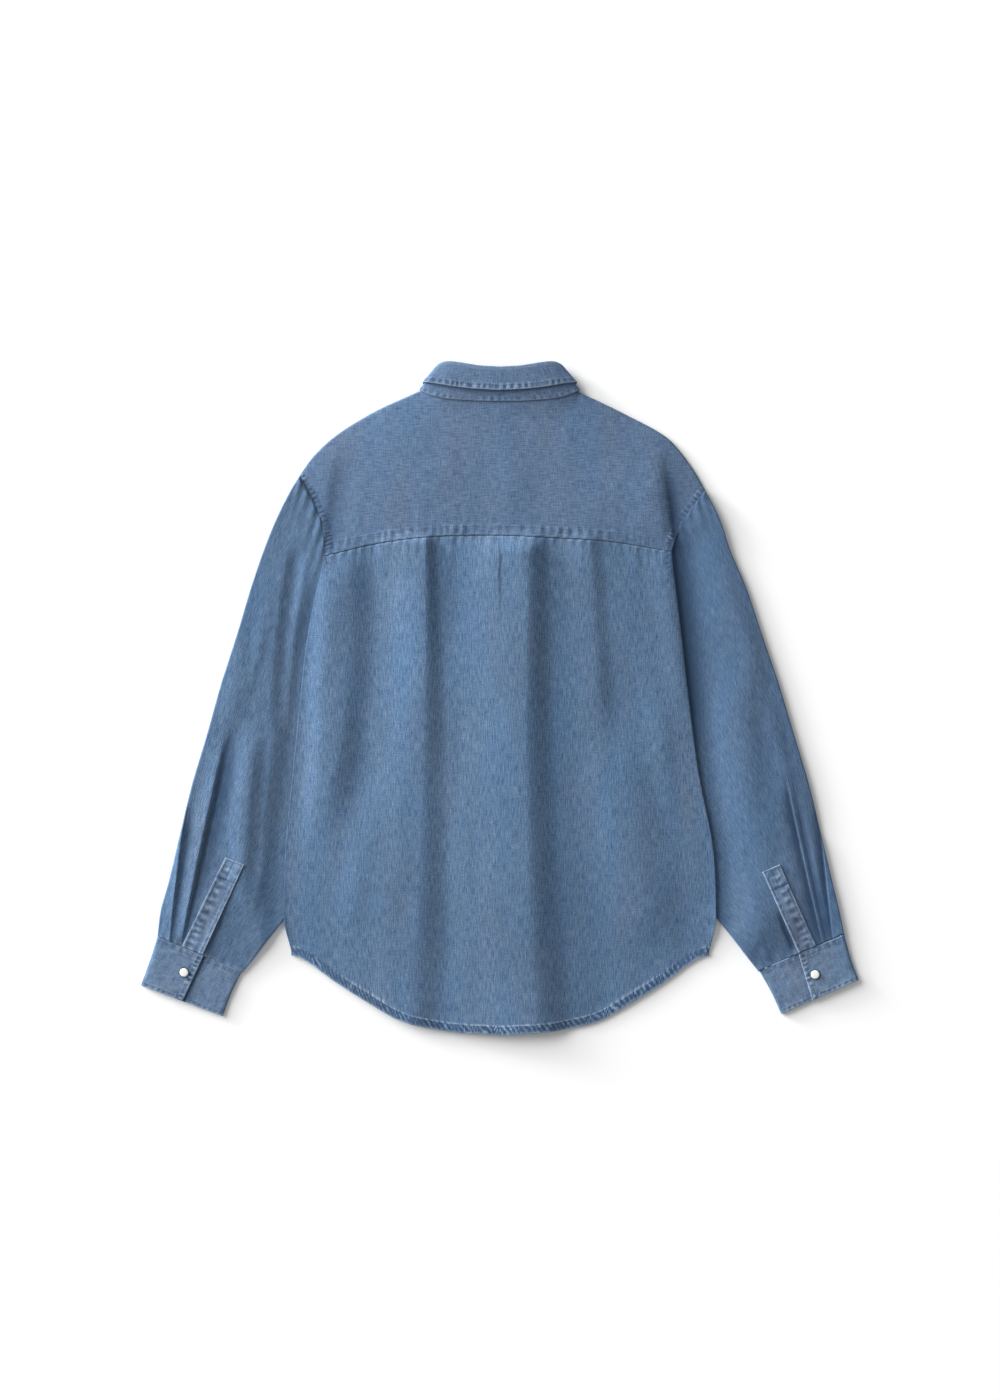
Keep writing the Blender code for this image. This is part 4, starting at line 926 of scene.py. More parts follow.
def sleeve_plan(side, share, part):
    """A spot share of the way from the outer to the inner fold of a section."""
    outer, inner = sleeve_ends(side, part)
    tip, underarm = pick_pair(ARMHOLE[0], side), pick_pair(ARMHOLE[-1], side)
    hollow = pick_pair(at(ARMHOLE, share), side) - mix(tip, underarm, share)
    chord = tip - underarm
    away = side * chord.imag - 1j * abs(chord.real)
    tuck = away / abs(away) * ARMHOLE_TUCK * (1 - ramp(part / ARMHOLE_TUCK_FADE))
    return mix(outer, inner, share) + hollow * (1 - part) ** HEAD_FADE - tuck


def sleeve_top(side, share, part):
    """A spot of the sleeve's upper wall."""
    plan = sleeve_plan(side, share, part)
    x, y = plan.real, plan.imag
    spot = side * x + 1j * y
    from_head, head_run = part * SLEEVE_LENGTH, (spot * HEAD_WAY.conjugate()).real
    z = sleeve_height(side, x, y) - 0.9 * bump(from_head, 3.0)
    z = z + gathers(head_run, from_head, 30.0, seed=43, height=0.75) * ramp(from_head / 4.0)
    worn = 0.5 * gathers(head_run * 1.7, from_head, 8.0, seed=23, height=1.0)
    # painted shade beside the sleeve head seam, and painted shade deepening the whole right sleeve
    worn = worn + edge_tone(from_head, *HEAD_SHADE[side]) + SLEEVE_SHADE[side]
    # painted shade in the hollows of the pleats
    worn = worn - PLEAT_SHADE * ramp(-relief(PLEATS[side], x, y, crisp=True) - 0.1)
    outer, inner = sleeve_ends(side, part)
    # painted shade along the sleeve's lit outer fold
    worn = worn + edge_tone(share * abs(inner - outer), SLEEVE_FOLD_SHADE)
    worn = worn + edge_tone(cuff_seam(side, spot)[1], SLEEVE_CUFF_WEAR)
    # painted shadow of the body's edge on the sleeve beside it
    beside = edge_tone(spot.real - side_edge(side, y), BESIDE_SHADOW[side])
    worn = worn + beside * ramp((y - BESIDE_SHADOW_FROM) / BESIDE_SHADOW_OVER)
    patch = PLACKETS[side]
    down, beyond = from_line(spot, patch.top_inner, patch.bottom_inner)
    down = down / abs(patch.bottom_inner - patch.top_inner)
    opened = SLIT[side] * ramp((down - 0.42) / 0.3) * ramp((0.97 - down) / 0.06)
    # painted shade in the slit beside the placket
    z, worn = z + opened * edge_tone(beyond, SLIT_SINK), worn + opened * edge_tone(beyond, SLIT_SHADE)
    return Surface(x, y, z, worn)


def sleeve_surface(side, stretch, value, part):
    """A spot of the flattened tube. stretch names the wall or fold that it is on."""
    outer, inner = sleeve_ends(side, part)
    width = abs(inner - outer) / SLEEVE_ROLL_SHARE
    rolls = {name: sleeve_height(side, end.real, end.imag) - SLEEVE_FOLD
             for name, end in (("outer", outer), ("inner", inner))}
    if stretch == "top":
        share = mix(rolls["outer"] / width, 1 - rolls["inner"] / width, value)
        return sleeve_top(side, share, part)
    if stretch == "bottom":
        share = mix(SLEEVE_FOLD / width, 1 - SLEEVE_FOLD / width, value)
        spot = sleeve_plan(side, share, part)
        return Surface(spot.real, spot.imag, 0 * share, 0 * share)
    angle = math.radians(value)
    roll = rolls[stretch] if value >= 0 else SLEEVE_FOLD
    inset = roll * (1 - math.cos(angle)) / width
    top = sleeve_top(side, inset if stretch == "outer" else 1 - inset, part)
    crest = top.z if value >= 0 else 2 * SLEEVE_FOLD + 0 * inset
    return Surface(top.x, top.y, mix(SLEEVE_FOLD, crest, math.sin(angle)), top.worn)


def sleeve_ring(bottom_count):
    """Stations round a flattened sleeve: (which stretch, angle or share), outer edge first."""
    angles = tuple(range(-75, 80, 15))
    outer = [("outer", angle) for angle in angles]
    top = [("top", share) for share in spread((90, 0.52), (40, 1.0))]
    inner = [("inner", angle) for angle in angles[::-1]]
    bottom = [("bottom", share) for share in even(bottom_count, 1.0, 0.0)]
    return outer + top + inner + bottom + outer[:1]


# ---- cuffs and plackets -------------------------------------------------------------------------
def cuff_wrap(width, lap):
    """The cuff's strip from its overlap round the wrist to its underlap.

    Each station is (distance from the outer fold, height of the outer face).
    """
    turns = np.radians(CUFF_ROLL)
    rolls = np.where(turns >= 0, CUFF_TOP - CUFF_FOLD, CUFF_FOLD)
    outer = zip(rolls * (1 - np.cos(turns)), CUFF_FOLD + rolls * np.sin(turns))
    fold = CUFF_UNDER / 2
    inner = zip(width - fold * (1 - np.cos(turns)), fold * (1 + np.sin(turns)))
    return np.array([
        *((lap * share, CUFF_TOP) for share in CUFF_LAP_SHARES),
        *list(outer)[::-1],
        *((width * share, 0.0) for share in (0.25, 0.5, 0.75)),
        *inner,
        *((mix(width, lap, share), CUFF_UNDER + CUFF_SWELL) for share in (0.35, 0.7)),
        (lap + CUFF_DIP, CUFF_UNDER),
        (lap - CUFF_UNDERLAP, CUFF_UNDER),
    ])


def cuff_station(side, which, share):
    """Spot, height, run and full run at a share of the cuff's strip, at its top (0) or foot (1)."""
    outer, inner = CUFFS[side][2 * which:2 * which + 2]
    width = abs(inner - outer)
    stations = cuff_wrap(width, CUFF_LAP[side][which] * width)
    run = run_length(stations)
    where = share * run[-1]
    distance, height = (np.interp(where, run, column) for column in stations.T)
    return outer + (inner - outer) * distance / width, height, where, run[-1]


def cuff_surface(side, share, down):
    upper, top_z, run, length = cuff_station(side, 0, share)
    lower, low_z, _, _ = cuff_station(side, 1, share)
    spot = mix(upper, lower, down)
    x, y = spot.real, spot.imag
    cuff = CUFFS[side]
    depth = abs(cuff.bottom_outer - cuff.top_outer)
    from_top, from_foot = down * depth, (1 - down) * depth
    flat = mix(top_z, low_z, down)
    upward = ramp((flat - CUFF_UPPER) / CUFF_UPPER_RAMP)
    trim = sizes().trim_band / MM
    lift_top, worn_top = seam_band(run, from_top, trim, seed=51, pitch=8.0)
    lift_low, worn_low = seam_band(run, from_foot, trim * CUFF_FOOT_TRIM, seed=53, pitch=7.0,
                                   strength=0.9)
    lift_lap, worn_lap = seam_band(from_top, run, trim, seed=57, strength=1.2, pitch=5.5)
    crinkle = patches(x, y, 7.0, seed=61) + 0.7 * patches(x, y, 3.5, seed=63)
    hollow = 0.3 * patches(x, y, 16.0, seed=59) + 0.16 * crinkle
    lift = 0.35 * (lift_top + lift_low + lift_lap) + hollow * ramp(from_top / 8)
    near_edge = bump(from_top - 4, 8.0) + bump(from_foot - 3, 8.0) + bump(run - 4, 8.0)
    worn = 0.5 * worn_top + 0.9 * worn_low + 1.2 * worn_lap
    worn = worn + CUFF_TONE + 0.16 * crinkle * (0.4 + np.minimum(near_edge, 1.0))
    outer = mix(cuff.top_outer, cuff.bottom_outer, down)
    inner = mix(cuff.top_inner, cuff.bottom_inner, down)
    from_fold = abs(spot - outer)
    past_lap = from_fold - abs(inner - outer) * mix(*CUFF_LAP[side], down)
    # painted shadow of the overlap on the underlap, painted shade on the lit outer fold and a
    # painted shadow ring round the snap
    below = edge_tone(past_lap, CUFF_LAP_SHADOW[side]) * ramp((run - length / 2) / 10.0)
    worn = worn + edge_tone(from_fold, CUFF_FOLD_SHADE) + below
    worn = worn + edge_tone(abs(spot - CUFF_SNAPS[side]) - SNAP_RADIUS, SNAP_SHADOW) * upward
    return Surface(side * x, y, flat + lift * upward, worn * mix(CUFF_HIDDEN_TONE, 1.0, upward))


def placket_surface(side, across, down):
    """across runs from the outer to the inner, open edge."""
    patch = PLACKETS[side]
    spot = mix(mix(patch.top_outer, patch.top_inner, across),
               mix(patch.bottom_outer, patch.bottom_inner, across), down)
    x, y = side * spot.real, spot.imag
    width = abs(patch.top_outer - patch.top_inner)
    along, inward = down * abs(patch.bottom_outer - patch.top_outer), across * width
    lift_open, worn_open = seam_band(along, width - inward, 3.5, seed=71, strength=0.4)
    lift_outer, worn_outer = seam_band(along, inward, 4.0, seed=73, strength=0.7, pitch=8.0)
    lift_top, worn_top = seam_band(inward, along, 2.6, seed=77, strength=0.6, pitch=7.0)
    in_box = 1 - ramp(along - BOX_LENGTH)
    box = bump(along - BOX_LENGTH, 1.0) + 0.7 * bump(inward - width / 2, 0.9) * in_box
    phase = along / RUNG_PITCH + 0.5 * patches(along, 0 * down, 22.0, seed=79)
    rungs = np.sin(2 * math.pi * phase) + 0.6 * patches(along, inward, 4.0, seed=83)
    rungs = rungs * bump(inward - width * 0.36, width * 0.2) * ramp((along - 4) / 8)
    rungs = rungs * (0.6 + 0.4 * patches(along, 0 * down, 15.0, seed=85))
    crinkle = patches(x, y, 4.0, seed=87) * in_box
    lift = 0.5 * (lift_open + lift_outer + lift_top) - 0.45 * box + 0.42 * rungs + 0.2 * crinkle
    lift = lift + OPEN_EDGE_LIFT * across ** 3 * ramp((down - 0.25) / 0.35)
    worn = 1.2 * worn_open + 0.9 * worn_outer + worn_top + 0.9 * rungs - 0.7 * box
    worn = worn + CUFF_TONE / 2 + 0.3 * crinkle
    return Surface(x, y, sleeve_height(side, x, y) + PLACKET_GAP + CLOTH + lift, worn)


# ---- collar -------------------------------------------------------------------------------------
def collar_line(step):
    """The stand's seam point and the roll point above it, as (..., 3) arrays."""
    side = np.where(step < 0, LEFT, RIGHT)
    row = at(COLLAR, abs(step))
    seam = np.stack([side * row.seam_x, row.seam_y, row.seam_z], -1)
    return seam, np.stack([side * row.roll_x, row.roll_y, row.roll_z], -1)


def collar_frame(step):
    """Seam, roll and leaf edge of the loop at a step, and the way out of the neck."""
    row = at(COLLAR, abs(step))
    side = np.where(step < 0, LEFT, RIGHT)
    seam, roll = collar_line(step)
    edge = side * row.edge_x + 1j * row.edge_y
    before, after = collar_line(step - 0.1), collar_line(step + 0.1)
    run = (after[0] + after[1]) - (before[0] + before[1])
    out = np.cross(run, roll - seam)
    return row, seam, roll, edge, out / np.linalg.norm(out, axis=-1, keepdims=True)


def collar_run(step):
    """Length along the neck seam from the centre back."""
    last = COLLAR[-1].step
    samples = even(320, -last, last)
    run = run_length(collar_line(samples)[0])
    return np.interp(step, samples, run - run[len(run) // 2])


def stand_surface(step, up):
    last = COLLAR[-1].step
    side = np.where(step < 0, LEFT, RIGHT)
    held = np.clip(step, -last, last)
    past = abs(step) - abs(held)
    _, seam, roll, _, out = collar_frame(held)
    closing = np.maximum(0.0, abs(held) - COLLAR[-2].step)
    roll = roll.copy()
    roll[..., 0] -= side * COLLAR[-1].roll_x * closing
    roll[..., 1] -= STAND_FRONT_DROP * closing
    height = np.linalg.norm(roll - seam, axis=-1, keepdims=True)
    top = roll + (seam - roll) / height * (ROLL_RADIUS + FALL_RISE + STAND_GAP)
    spot = mix(seam, top, up[..., None])
    spot[..., 0] -= side * past * STAND_LAP
    beside_lap = (-spot[..., 0] - STAND_LAP - STAND_LAP_GAP) / STAND_LAP_RAMP
    lapped = (side == LEFT) & (abs(step) > FRONT_NECK_STEP)
    spot[..., 2] += np.where(lapped, STAND_LAP_LIFT * (1 - ramp(beside_lap)), 0.0)
    lift, worn = seam_band(collar_run(held), up * height[..., 0], 5.0, seed=81, pitch=8.5,
                           strength=0.8)
    back = abs(step) < STAND_BACK_STEPS
    spot = spot + out * np.where(back, 0.35 * lift, 0.0)[..., None]
    return Surface(*np.moveaxis(spot, -1, 0), np.where(back, worn * 0.9, 0.0))


def fall_wrap(seam_steps, roll_steps, leaf_shares):
    """(share of the leaf, distance from the roll, offset out) across the fall, seam first."""
    stations = [(0.0, ROLL_RADIUS + FALL_RISE * share, -CLOTH)
                for share in even(seam_steps, 1.0, 0.0)[:-1]]
    turns = np.radians(even(roll_steps, -90.0, 90.0))
    away, out = ROLL_RADIUS * (1 - np.cos(turns)), ROLL_RADIUS * (1 + np.sin(turns)) - CLOTH
    stations += [(0.0, *place) for place in zip(away, out)]
    return stations + [(share, ROLL_RADIUS, FALL_OVER) for share in leaf_shares[1:]]


def fall_surface(step, share, distance, offset):
    """A spot of the collar's fall. fall_wrap tells what share, distance and offset are."""
    row, seam, roll, edge, out = collar_frame(step)
    drop = (seam - roll) / np.linalg.norm(seam - roll, axis=-1, keepdims=True)
    start, seam_plan, roll_plan = (place[..., 0] + 1j * place[..., 1]
                                   for place in (roll + drop * distance[..., None], seam, roll))
    plan = mix(start, edge, share)
    down = np.minimum(1.0, abs(plan - roll_plan) / abs(seam_plan - roll_plan))
    z = mix(row.roll_z, row.seam_z, down)
    leaf = abs(edge - start)
    from_edge, from_end = (1 - share) * leaf, (COLLAR[-1].step - abs(step)) * STEP_LENGTH
    run = collar_run(step) * mix(0.85, 1.0, share)
    trim = sizes().trim_band / MM
    lift, worn = seam_band(run, from_edge, trim, seed=91, strength=1.2, pitch=8.0)
    _, worn_end = seam_band(from_edge, from_end, trim, seed=93, strength=0.6)
    soft = 0.3 * patches(run, from_edge, 18.0, seed=95) * ramp(from_edge / 10) * ramp(share * 3)
    lift = np.where(abs(step) < FALL_BACK_STEPS, 0.45 * lift * ramp(share * 6) + soft, 0.0)
    worn = (worn + np.where(from_end < 14, worn_end, 0.0)) * ramp(share * 4)
    offset = offset + row.flare * share + lift
    return Surface(plan.real + out[..., 0] * offset, plan.imag + out[..., 1] * offset,
                   z + out[..., 2] * offset, worn + edge_tone(share * leaf, FALL_ROLL_WEAR))


# ---- mesh building ------------------------------------------------------------------------------
MERGE, SNAP_MERGE = 0.00001, 0.000001        # metres within which corners become one


def add_piece(name, bm, paints):
    mesh = bpy.data.meshes.new(name)
    bm.to_mesh(mesh)
    bm.free()
    mesh.shade_smooth()
    for paint in paints:
        mesh.materials.append(paint)
    piece = bpy.data.objects.new(name, mesh)
    bpy.context.scene.collection.objects.link(piece)
    return piece


def places_of(surface):
    return np.stack([surface.x, surface.y, surface.z], -1)


def joined(rings, axis):
    """One Surface from a list of them, each a new row or column."""
    return Surface(*[np.stack(column, axis) for column in zip(*rings)])


def grid_cloth(name, surface, cut_u, cut_v, paint, wall=CLOTH, outward=-1, flip=False, tube=False):
    """A grid of cloth on a Surface whose arrays are (rows, columns), with its wall and its maps.

    cut_u and cut_v are each spot's place in the cut, weft and warp way, in millimetres.
    """
    rows, columns = surface.x.shape
    bm = bmesh.new()
    bmesh.ops.create_grid(bm, x_segments=columns - 1, y_segments=rows - 1, size=1)
    # each spot's tone: pale rubbing, deep seams, and in places painted shade and painted shadows
    worn = bm.verts.layers.float.new("worn")
    cut = bm.loops.layers.uv.new("cut")
    places = (places_of(surface).reshape(-1, 3) * MM).tolist()
    wear_and_shade_here, across, along = (np.broadcast_to(values, surface.x.shape).reshape(-1)
                                for values in (surface.worn, cut_u, cut_v))
    spots = (np.stack([across, along], -1) * MM).tolist()
    for vert, place, wear_and_shade_value in zip(bm.verts, places, wear_and_shade_here.tolist()):
        vert.co = place
        vert[worn] = wear_and_shade_value
    for face in bm.faces:
        for loop in face.loops:
            loop[cut].uv = spots[loop.vert.index]
    if tube:
        bmesh.ops.remove_doubles(bm, verts=bm.verts, dist=MERGE)
    if flip:
        bmesh.ops.reverse_faces(bm, faces=bm.faces)
    piece = add_piece(name, bm, [paint])
    solidify = piece.modifiers.new("Wall", "SOLIDIFY")
    solidify.thickness = wall * MM
    solidify.offset = outward
    return piece


def measured(surface):
    """Each spot's place in the cut, measured along the surface's own rows and columns."""
    places = places_of(surface)
    middle_row, middle_column = places[len(places) // 2], places[:, places.shape[1] // 2]
    return np.meshgrid(run_length(middle_row), run_length(middle_column))


def settle(piece, nodes=()):
    """The piece rides with the shirt and stands for its CAD nodes, if it has any."""
    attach(piece, "root")
    if nodes:
        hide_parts(*nodes)
    return piece


# ---- materials ----------------------------------------------------------------------------------
TWILL_ANGLE, TWILL_WAVES = 62.0, 330.0
FADE_STRENGTH = 0.16


class Nodes:
    """Short calls for a node tree: node(), then link() or a plain value into a named input."""

    def __init__(self, tree):
        self.tree = tree
        self.count = 0

    def node(self, kind, **settings):
        made = self.tree.nodes.new(kind)
        made.location = (self.count % 8 * 190, -(self.count // 8) * 260)
        self.count += 1
        inputs = settings.pop("inputs", {})
        for name, value in settings.items():
            setattr(made, name, value)
        for name, value in inputs.items():
            self.feed(made.inputs[name], value)
        return made

    def feed(self, socket, value):
        if isinstance(value, bpy.types.NodeSocket):
            self.tree.links.new(value, socket)
        else:
            socket.default_value = value

    def math(self, operation, first, second=0.0, clamp=False):
        made = self.node("ShaderNodeMath", operation=operation, use_clamp=clamp)
        self.feed(made.inputs[0], first)
        self.feed(made.inputs[1], second)
        return made.outputs[0]

    def blend(self, factor, first, second, mode="MIX"):
        made = self.node("ShaderNodeMix", data_type="RGBA", blend_type=mode)
        self.feed(made.inputs["Factor"], factor)
        self.feed(made.inputs["A"], first)
        self.feed(made.inputs["B"], second)
        return made.outputs["Result"]

    def band(self, value, low, high, to_low=0.0, to_high=1.0):
        made = self.node("ShaderNodeMapRange", inputs={"From Min": low, "From Max": high,
                                                       "To Min": to_low, "To Max": to_high})
        self.feed(made.inputs["Value"], value)
        return made.outputs["Result"]

    def fill(self, made, **values):
        """Links or plain values into inputs whose names are written with _ for a space."""
        for name, value in values.items():
            self.feed(made.inputs[name.replace("_", " ")], value)

    def total(self, first, *rest):
        for value in rest:
            first = self.math("ADD", first, value)
        return first

    def noise(self, vector, scale, detail=2.0, roughness=0.5):
        made = self.node("ShaderNodeTexNoise", inputs={"Vector": vector, "Scale": scale,
                                                       "Detail": detail, "Roughness": roughness})
        return made.outputs["Fac"]

    def round_nought(self, value, weight):
        """A value from 0 to 1 made to lie round 0, and scaled."""
        return self.math("MULTIPLY", self.math("SUBTRACT", value, 0.5), weight)

    def streaks(self, vector, across, along, weight, detail=2.0, roughness=0.5):
        """Noise with so many waves a metre each way, round 0 and scaled by a weight."""
        waves = (across, along, 1.0)
        made = self.node("ShaderNodeMapping", inputs={"Vector": vector, "Scale": waves})
        return self.round_nought(self.noise(made.outputs["Vector"], 1.0, detail, roughness), weight)


def group_tree(name, takes, gives):
    """An empty shader node group with its sockets: (name, socket type, default)."""
    tree = bpy.data.node_groups.new(name, "ShaderNodeTree")
    for label, kind, default in takes:
        socket = tree.interface.new_socket(name=label, in_out="INPUT", socket_type=kind)
        if default is not None:
            socket.default_value = default
    for label, kind in gives:
        tree.interface.new_socket(name=label, in_out="OUTPUT", socket_type=kind)
    nodes = Nodes(tree)
    return tree, nodes, nodes.node("NodeGroupInput"), nodes.node("NodeGroupOutput")


def once(kind, name):
    """Makes a data block when it is first asked for, and then finds it."""
    def wrap(make):
        return lambda: getattr(bpy.data, kind).get(name) or make(name)
    return wrap


@once("node_groups", "Denim weave")
def denim_weave(name):
    """Yarns: how pale the spot is, from 0 to 1, and the height of the weave."""
    tree, nodes, given, result = group_tree(
        name,
        [("Cut", "NodeSocketVector", None), ("Slub", "NodeSocketFloat", 1.0),
         ("Cross slub", "NodeSocketFloat", 0.5), ("Mottle", "NodeSocketFloat", 1.0)],
        [("Pale", "NodeSocketFloat"), ("Height", "NodeSocketFloat")])
    cut = given.outputs["Cut"]
    warp = nodes.streaks(cut, 760.0, 80.0, given.outputs["Slub"], roughness=0.6)
    weft = nodes.streaks(cut, 90.0, 760.0, given.outputs["Cross slub"], roughness=0.6)
    fleck = nodes.streaks(cut, 900.0, 700.0, given.outputs["Mottle"], detail=1.0, roughness=0.6)
    cloud = nodes.streaks(cut, 140.0, 95.0, 0.16)
    yarn = nodes.streaks(cut, 2100.0, 120.0, 0.6, detail=1.0)
    turned = nodes.node("ShaderNodeMapping",
                        inputs={"Vector": cut, "Rotation": (0.0, 0.0, math.radians(TWILL_ANGLE))})
    twill = nodes.node("ShaderNodeTexWave", wave_type="BANDS", bands_direction="X",
                       inputs={"Vector": turned.outputs["Vector"], "Scale": TWILL_WAVES,
                               "Distortion": 1.2, "Detail": 1.0, "Detail Scale": 2.0})
    rib = nodes.round_nought(twill.outputs["Fac"], 1.0)
    threads = nodes.total(warp, weft, fleck)
    pale = nodes.total(threads, cloud, yarn, nodes.math("MULTIPLY", rib, 0.10))
    nodes.fill(result, Pale=nodes.math("ADD", nodes.math("MULTIPLY", pale, 1.25), 0.5, clamp=True),
               Height=nodes.total(threads, nodes.math("MULTIPLY", rib, 0.7)))
    return tree


@once("node_groups", "Wash fade")
def wash_fade(name):
    """Soft blotches of the wash: a factor round 1, and how far the colour drifts to blue."""
    tree, nodes, given, result = group_tree(
        name,
        [("Place", "NodeSocketVector", None), ("Strength", "NodeSocketFloat", 0.12)],
        [("Fade", "NodeSocketFloat"), ("Bluer", "NodeSocketFloat")])
    place = given.outputs["Place"]
    wide = nodes.round_nought(nodes.noise(place, 9.0), 1.0)
    both = nodes.total(wide, nodes.streaks(place, 60.0, 24.0, 0.7, detail=3.0, roughness=0.6))
    fade = nodes.math("ADD", nodes.math("MULTIPLY", both, given.outputs["Strength"]), 1.0)
    nodes.fill(result, Fade=fade, Bluer=nodes.streaks(place, 22.0, 5.0, 0.4))
    return tree


@once("node_groups", "Seam wear")
def wear_and_shade_tones(name):
    """Where seams and edges are rubbed pale, and where the cloth is made deep: unfaded seam
    hollows, and painted shade and painted shadows.
    """
    tree, nodes, given, result = group_tree(
        name,
        [("Worn", "NodeSocketFloat", 0.0), ("Cut", "NodeSocketVector", None)],
        [("Rubbed", "NodeSocketFloat"), ("Deep", "NodeSocketFloat")])
    speckle = nodes.streaks(given.outputs["Cut"], 900.0, 900.0, 1.0, roughness=0.6)
    broken = nodes.band(speckle, -0.20, 0.12, 0.35, 1.0)
    nodes.fill(result, Rubbed=nodes.math("MULTIPLY", given.outputs["Worn"], broken, clamp=True),
               Deep=nodes.math("MULTIPLY", given.outputs["Worn"], -1.0, clamp=True))
    return tree


def use_group(nodes, tree, **inputs):
    made = nodes.node("ShaderNodeGroup", node_tree=tree)
    nodes.fill(made, **inputs)
    return made


def opaque(colour):
    return (*colour, 1.0)


def new_paint(name):
    """A new material: itself, short calls for its tree, its shader and its Object coordinates."""
    paint = bpy.data.materials.new(name)
    paint.use_nodes = True
    nodes = Nodes(paint.node_tree)
    place = nodes.node("ShaderNodeTexCoord").outputs["Object"]
    return paint, nodes, paint.node_tree.nodes["Principled BSDF"], place


def denim(name, ground, slub, cross_slub, mottle):
    """Washed denim: the ground yarn, the pale yarn through it, seams rubbed pale."""
    paint, nodes, shader, place = new_paint(name)
    palette = colours()
    cut = nodes.node("ShaderNodeUVMap", uv_map="cut").outputs["UV"]
    worn = nodes.node("ShaderNodeAttribute", attribute_name="worn").outputs["Fac"]
    weave = use_group(nodes, denim_weave(), Cut=cut, Slub=slub, Cross_slub=cross_slub,
                      Mottle=mottle)
    fade = use_group(nodes, wash_fade(), Place=place, Strength=FADE_STRENGTH)
    wear_and_shade_here = use_group(nodes, wear_and_shade_tones(), Worn=worn, Cut=cut)
    yarn = nodes.blend(weave.outputs["Pale"], opaque(ground), opaque(palette.weft))
    rubbed = nodes.blend(wear_and_shade_here.outputs["Rubbed"], yarn, opaque(palette.worn))
    # deep colour below 0: unfaded seam hollows, and painted shade and painted shadows
    deep = nodes.math("MULTIPLY", wear_and_shade_here.outputs["Deep"], 0.8, clamp=True)
    dark = nodes.blend(deep, rubbed, opaque(palette.deep))
    even_fade, bluer = fade.outputs["Fade"], fade.outputs["Bluer"]
    tint = nodes.node("ShaderNodeCombineColor", inputs={
        "Red": nodes.math("SUBTRACT", even_fade, bluer), "Green": even_fade,
        "Blue": nodes.math("ADD", even_fade, nodes.math("MULTIPLY", bluer, 0.5))})
    weave_bump = nodes.node("ShaderNodeBump", inputs={"Strength": 0.45, "Distance": 0.0004,
                                                      "Height": weave.outputs["Height"]})
    nodes.fill(shader, Base_Color=nodes.blend(1.0, dark, tint.outputs["Color"], "MULTIPLY"),
               Roughness=nodes.band(weave.outputs["Pale"], 0.0, 1.0, 0.97, 0.86),
               Specular_IOR_Level=0.18, Sheen_Weight=0.10, Sheen_Roughness=0.55,
               Normal=weave_bump.outputs["Normal"])
    return paint


@once("materials", "Body denim")
def body_denim(name):
    return denim(name, colours().warp, slub=1.35, cross_slub=0.5, mottle=0.9)


@once("materials", "Cross-cut denim")
def yoke_denim(name):
    return denim(name, colours().yoke, slub=0.9, cross_slub=1.2, mottle=0.7)


@once("materials", "Sewing thread")
def thread_paint(name):
    paint, nodes, shader, place = new_paint(name)
    shade = nodes.noise(place, 260.0, roughness=0.6)
    deep, pale = opaque(colours().deep), opaque(colours().thread)
    nodes.fill(shader, Base_Color=nodes.blend(nodes.band(shade, 0.3, 0.7, 0.35, 1.0), deep, pale),
               Roughness=nodes.band(shade, 0.0, 1.0, 0.62, 0.5))
    return paint


@once("materials", "Pearl")
def pearl_paint(name):
    paint, nodes, shader, place = new_paint(name)
    swirl = nodes.noise(place, 320.0, 3.0, 0.6)
    red, green, blue = colours().pearl
    warmer, cooler = (red, green * 0.985, blue * 0.95), (red * 0.93, green * 0.97, blue * 1.05)
    nodes.fill(shader, Base_Color=nodes.blend(nodes.band(swirl, 0.35, 0.7), opaque(warmer),
                                              opaque(cooler)),
               Roughness=nodes.band(swirl, 0.0, 1.0, 0.16, 0.30),
               Coat_Weight=0.6, Coat_Roughness=0.08)
    return paint


@once("materials", "Snap rim")
def rim_paint(name):
    paint, nodes, shader, place = new_paint(name)
    brushed = nodes.noise(place, 900.0)
    darker = [channel * 0.8 for channel in colours().rim]
    nodes.fill(shader, Base_Color=nodes.blend(nodes.band(brushed, 0.3, 0.7), opaque(darker),
                                              opaque(colours().rim)),
               Roughness=nodes.band(brushed, 0.0, 1.0, 0.25, 0.42), Metallic=0.9)
    return paint


# ---- stitches -----------------------------------------------------------------------------------
def sew(bm, surface):
    """Stitches along a line of spots on a surface, each a small spindle sunk at both ends."""
    places = places_of(surface)
    run = run_length(places)
    pitch, length, radius = (value / MM for value in (sizes().stitch_pitch, sizes().stitch,
                                                      sizes().thread / 2))
    for number in range(int(run[-1] // pitch)):
        middle = (number + 0.5) * pitch
        start, end = (Vector([np.interp(middle + shift, run, column) for column in places.T])
                      for shift in (-length / 2, length / 2))
        turn = (end - start).to_track_quat("X", "Z").to_matrix().to_4x4()
        halves = Vector(((end - start).length / 2, radius, radius * STITCH_FLATNESS)) * MM
        shape = Matrix.Diagonal((*halves, 1.0))
        place = Matrix.Translation((start + end) / 2 * MM)
        bmesh.ops.create_icosphere(bm, subdivisions=1, radius=1.0, matrix=place @ turn @ shape)


def stitched(name, lines, rise=STITCH_RISE):
    """Stitches along lines of spots, a little over their surfaces, as one piece."""
    bm = bmesh.new()
    for line in lines:
        sew(bm, line._replace(z=line.z + rise))
    return settle(add_piece(name, bm, [thread_paint()]))


# ---- pieces -------------------------------------------------------------------------------------
def spread_columns(count):
    """Columns across the body, close together in the rolled side edges."""
    edge = 1 - SIDE_ROLL * (1 - np.cos(np.radians(even(6, 0, 90)))) / SIDES[0].left
    return np.concatenate([-edge[:-1], even(count, -edge[-1], edge[-1]), edge[-2::-1]])


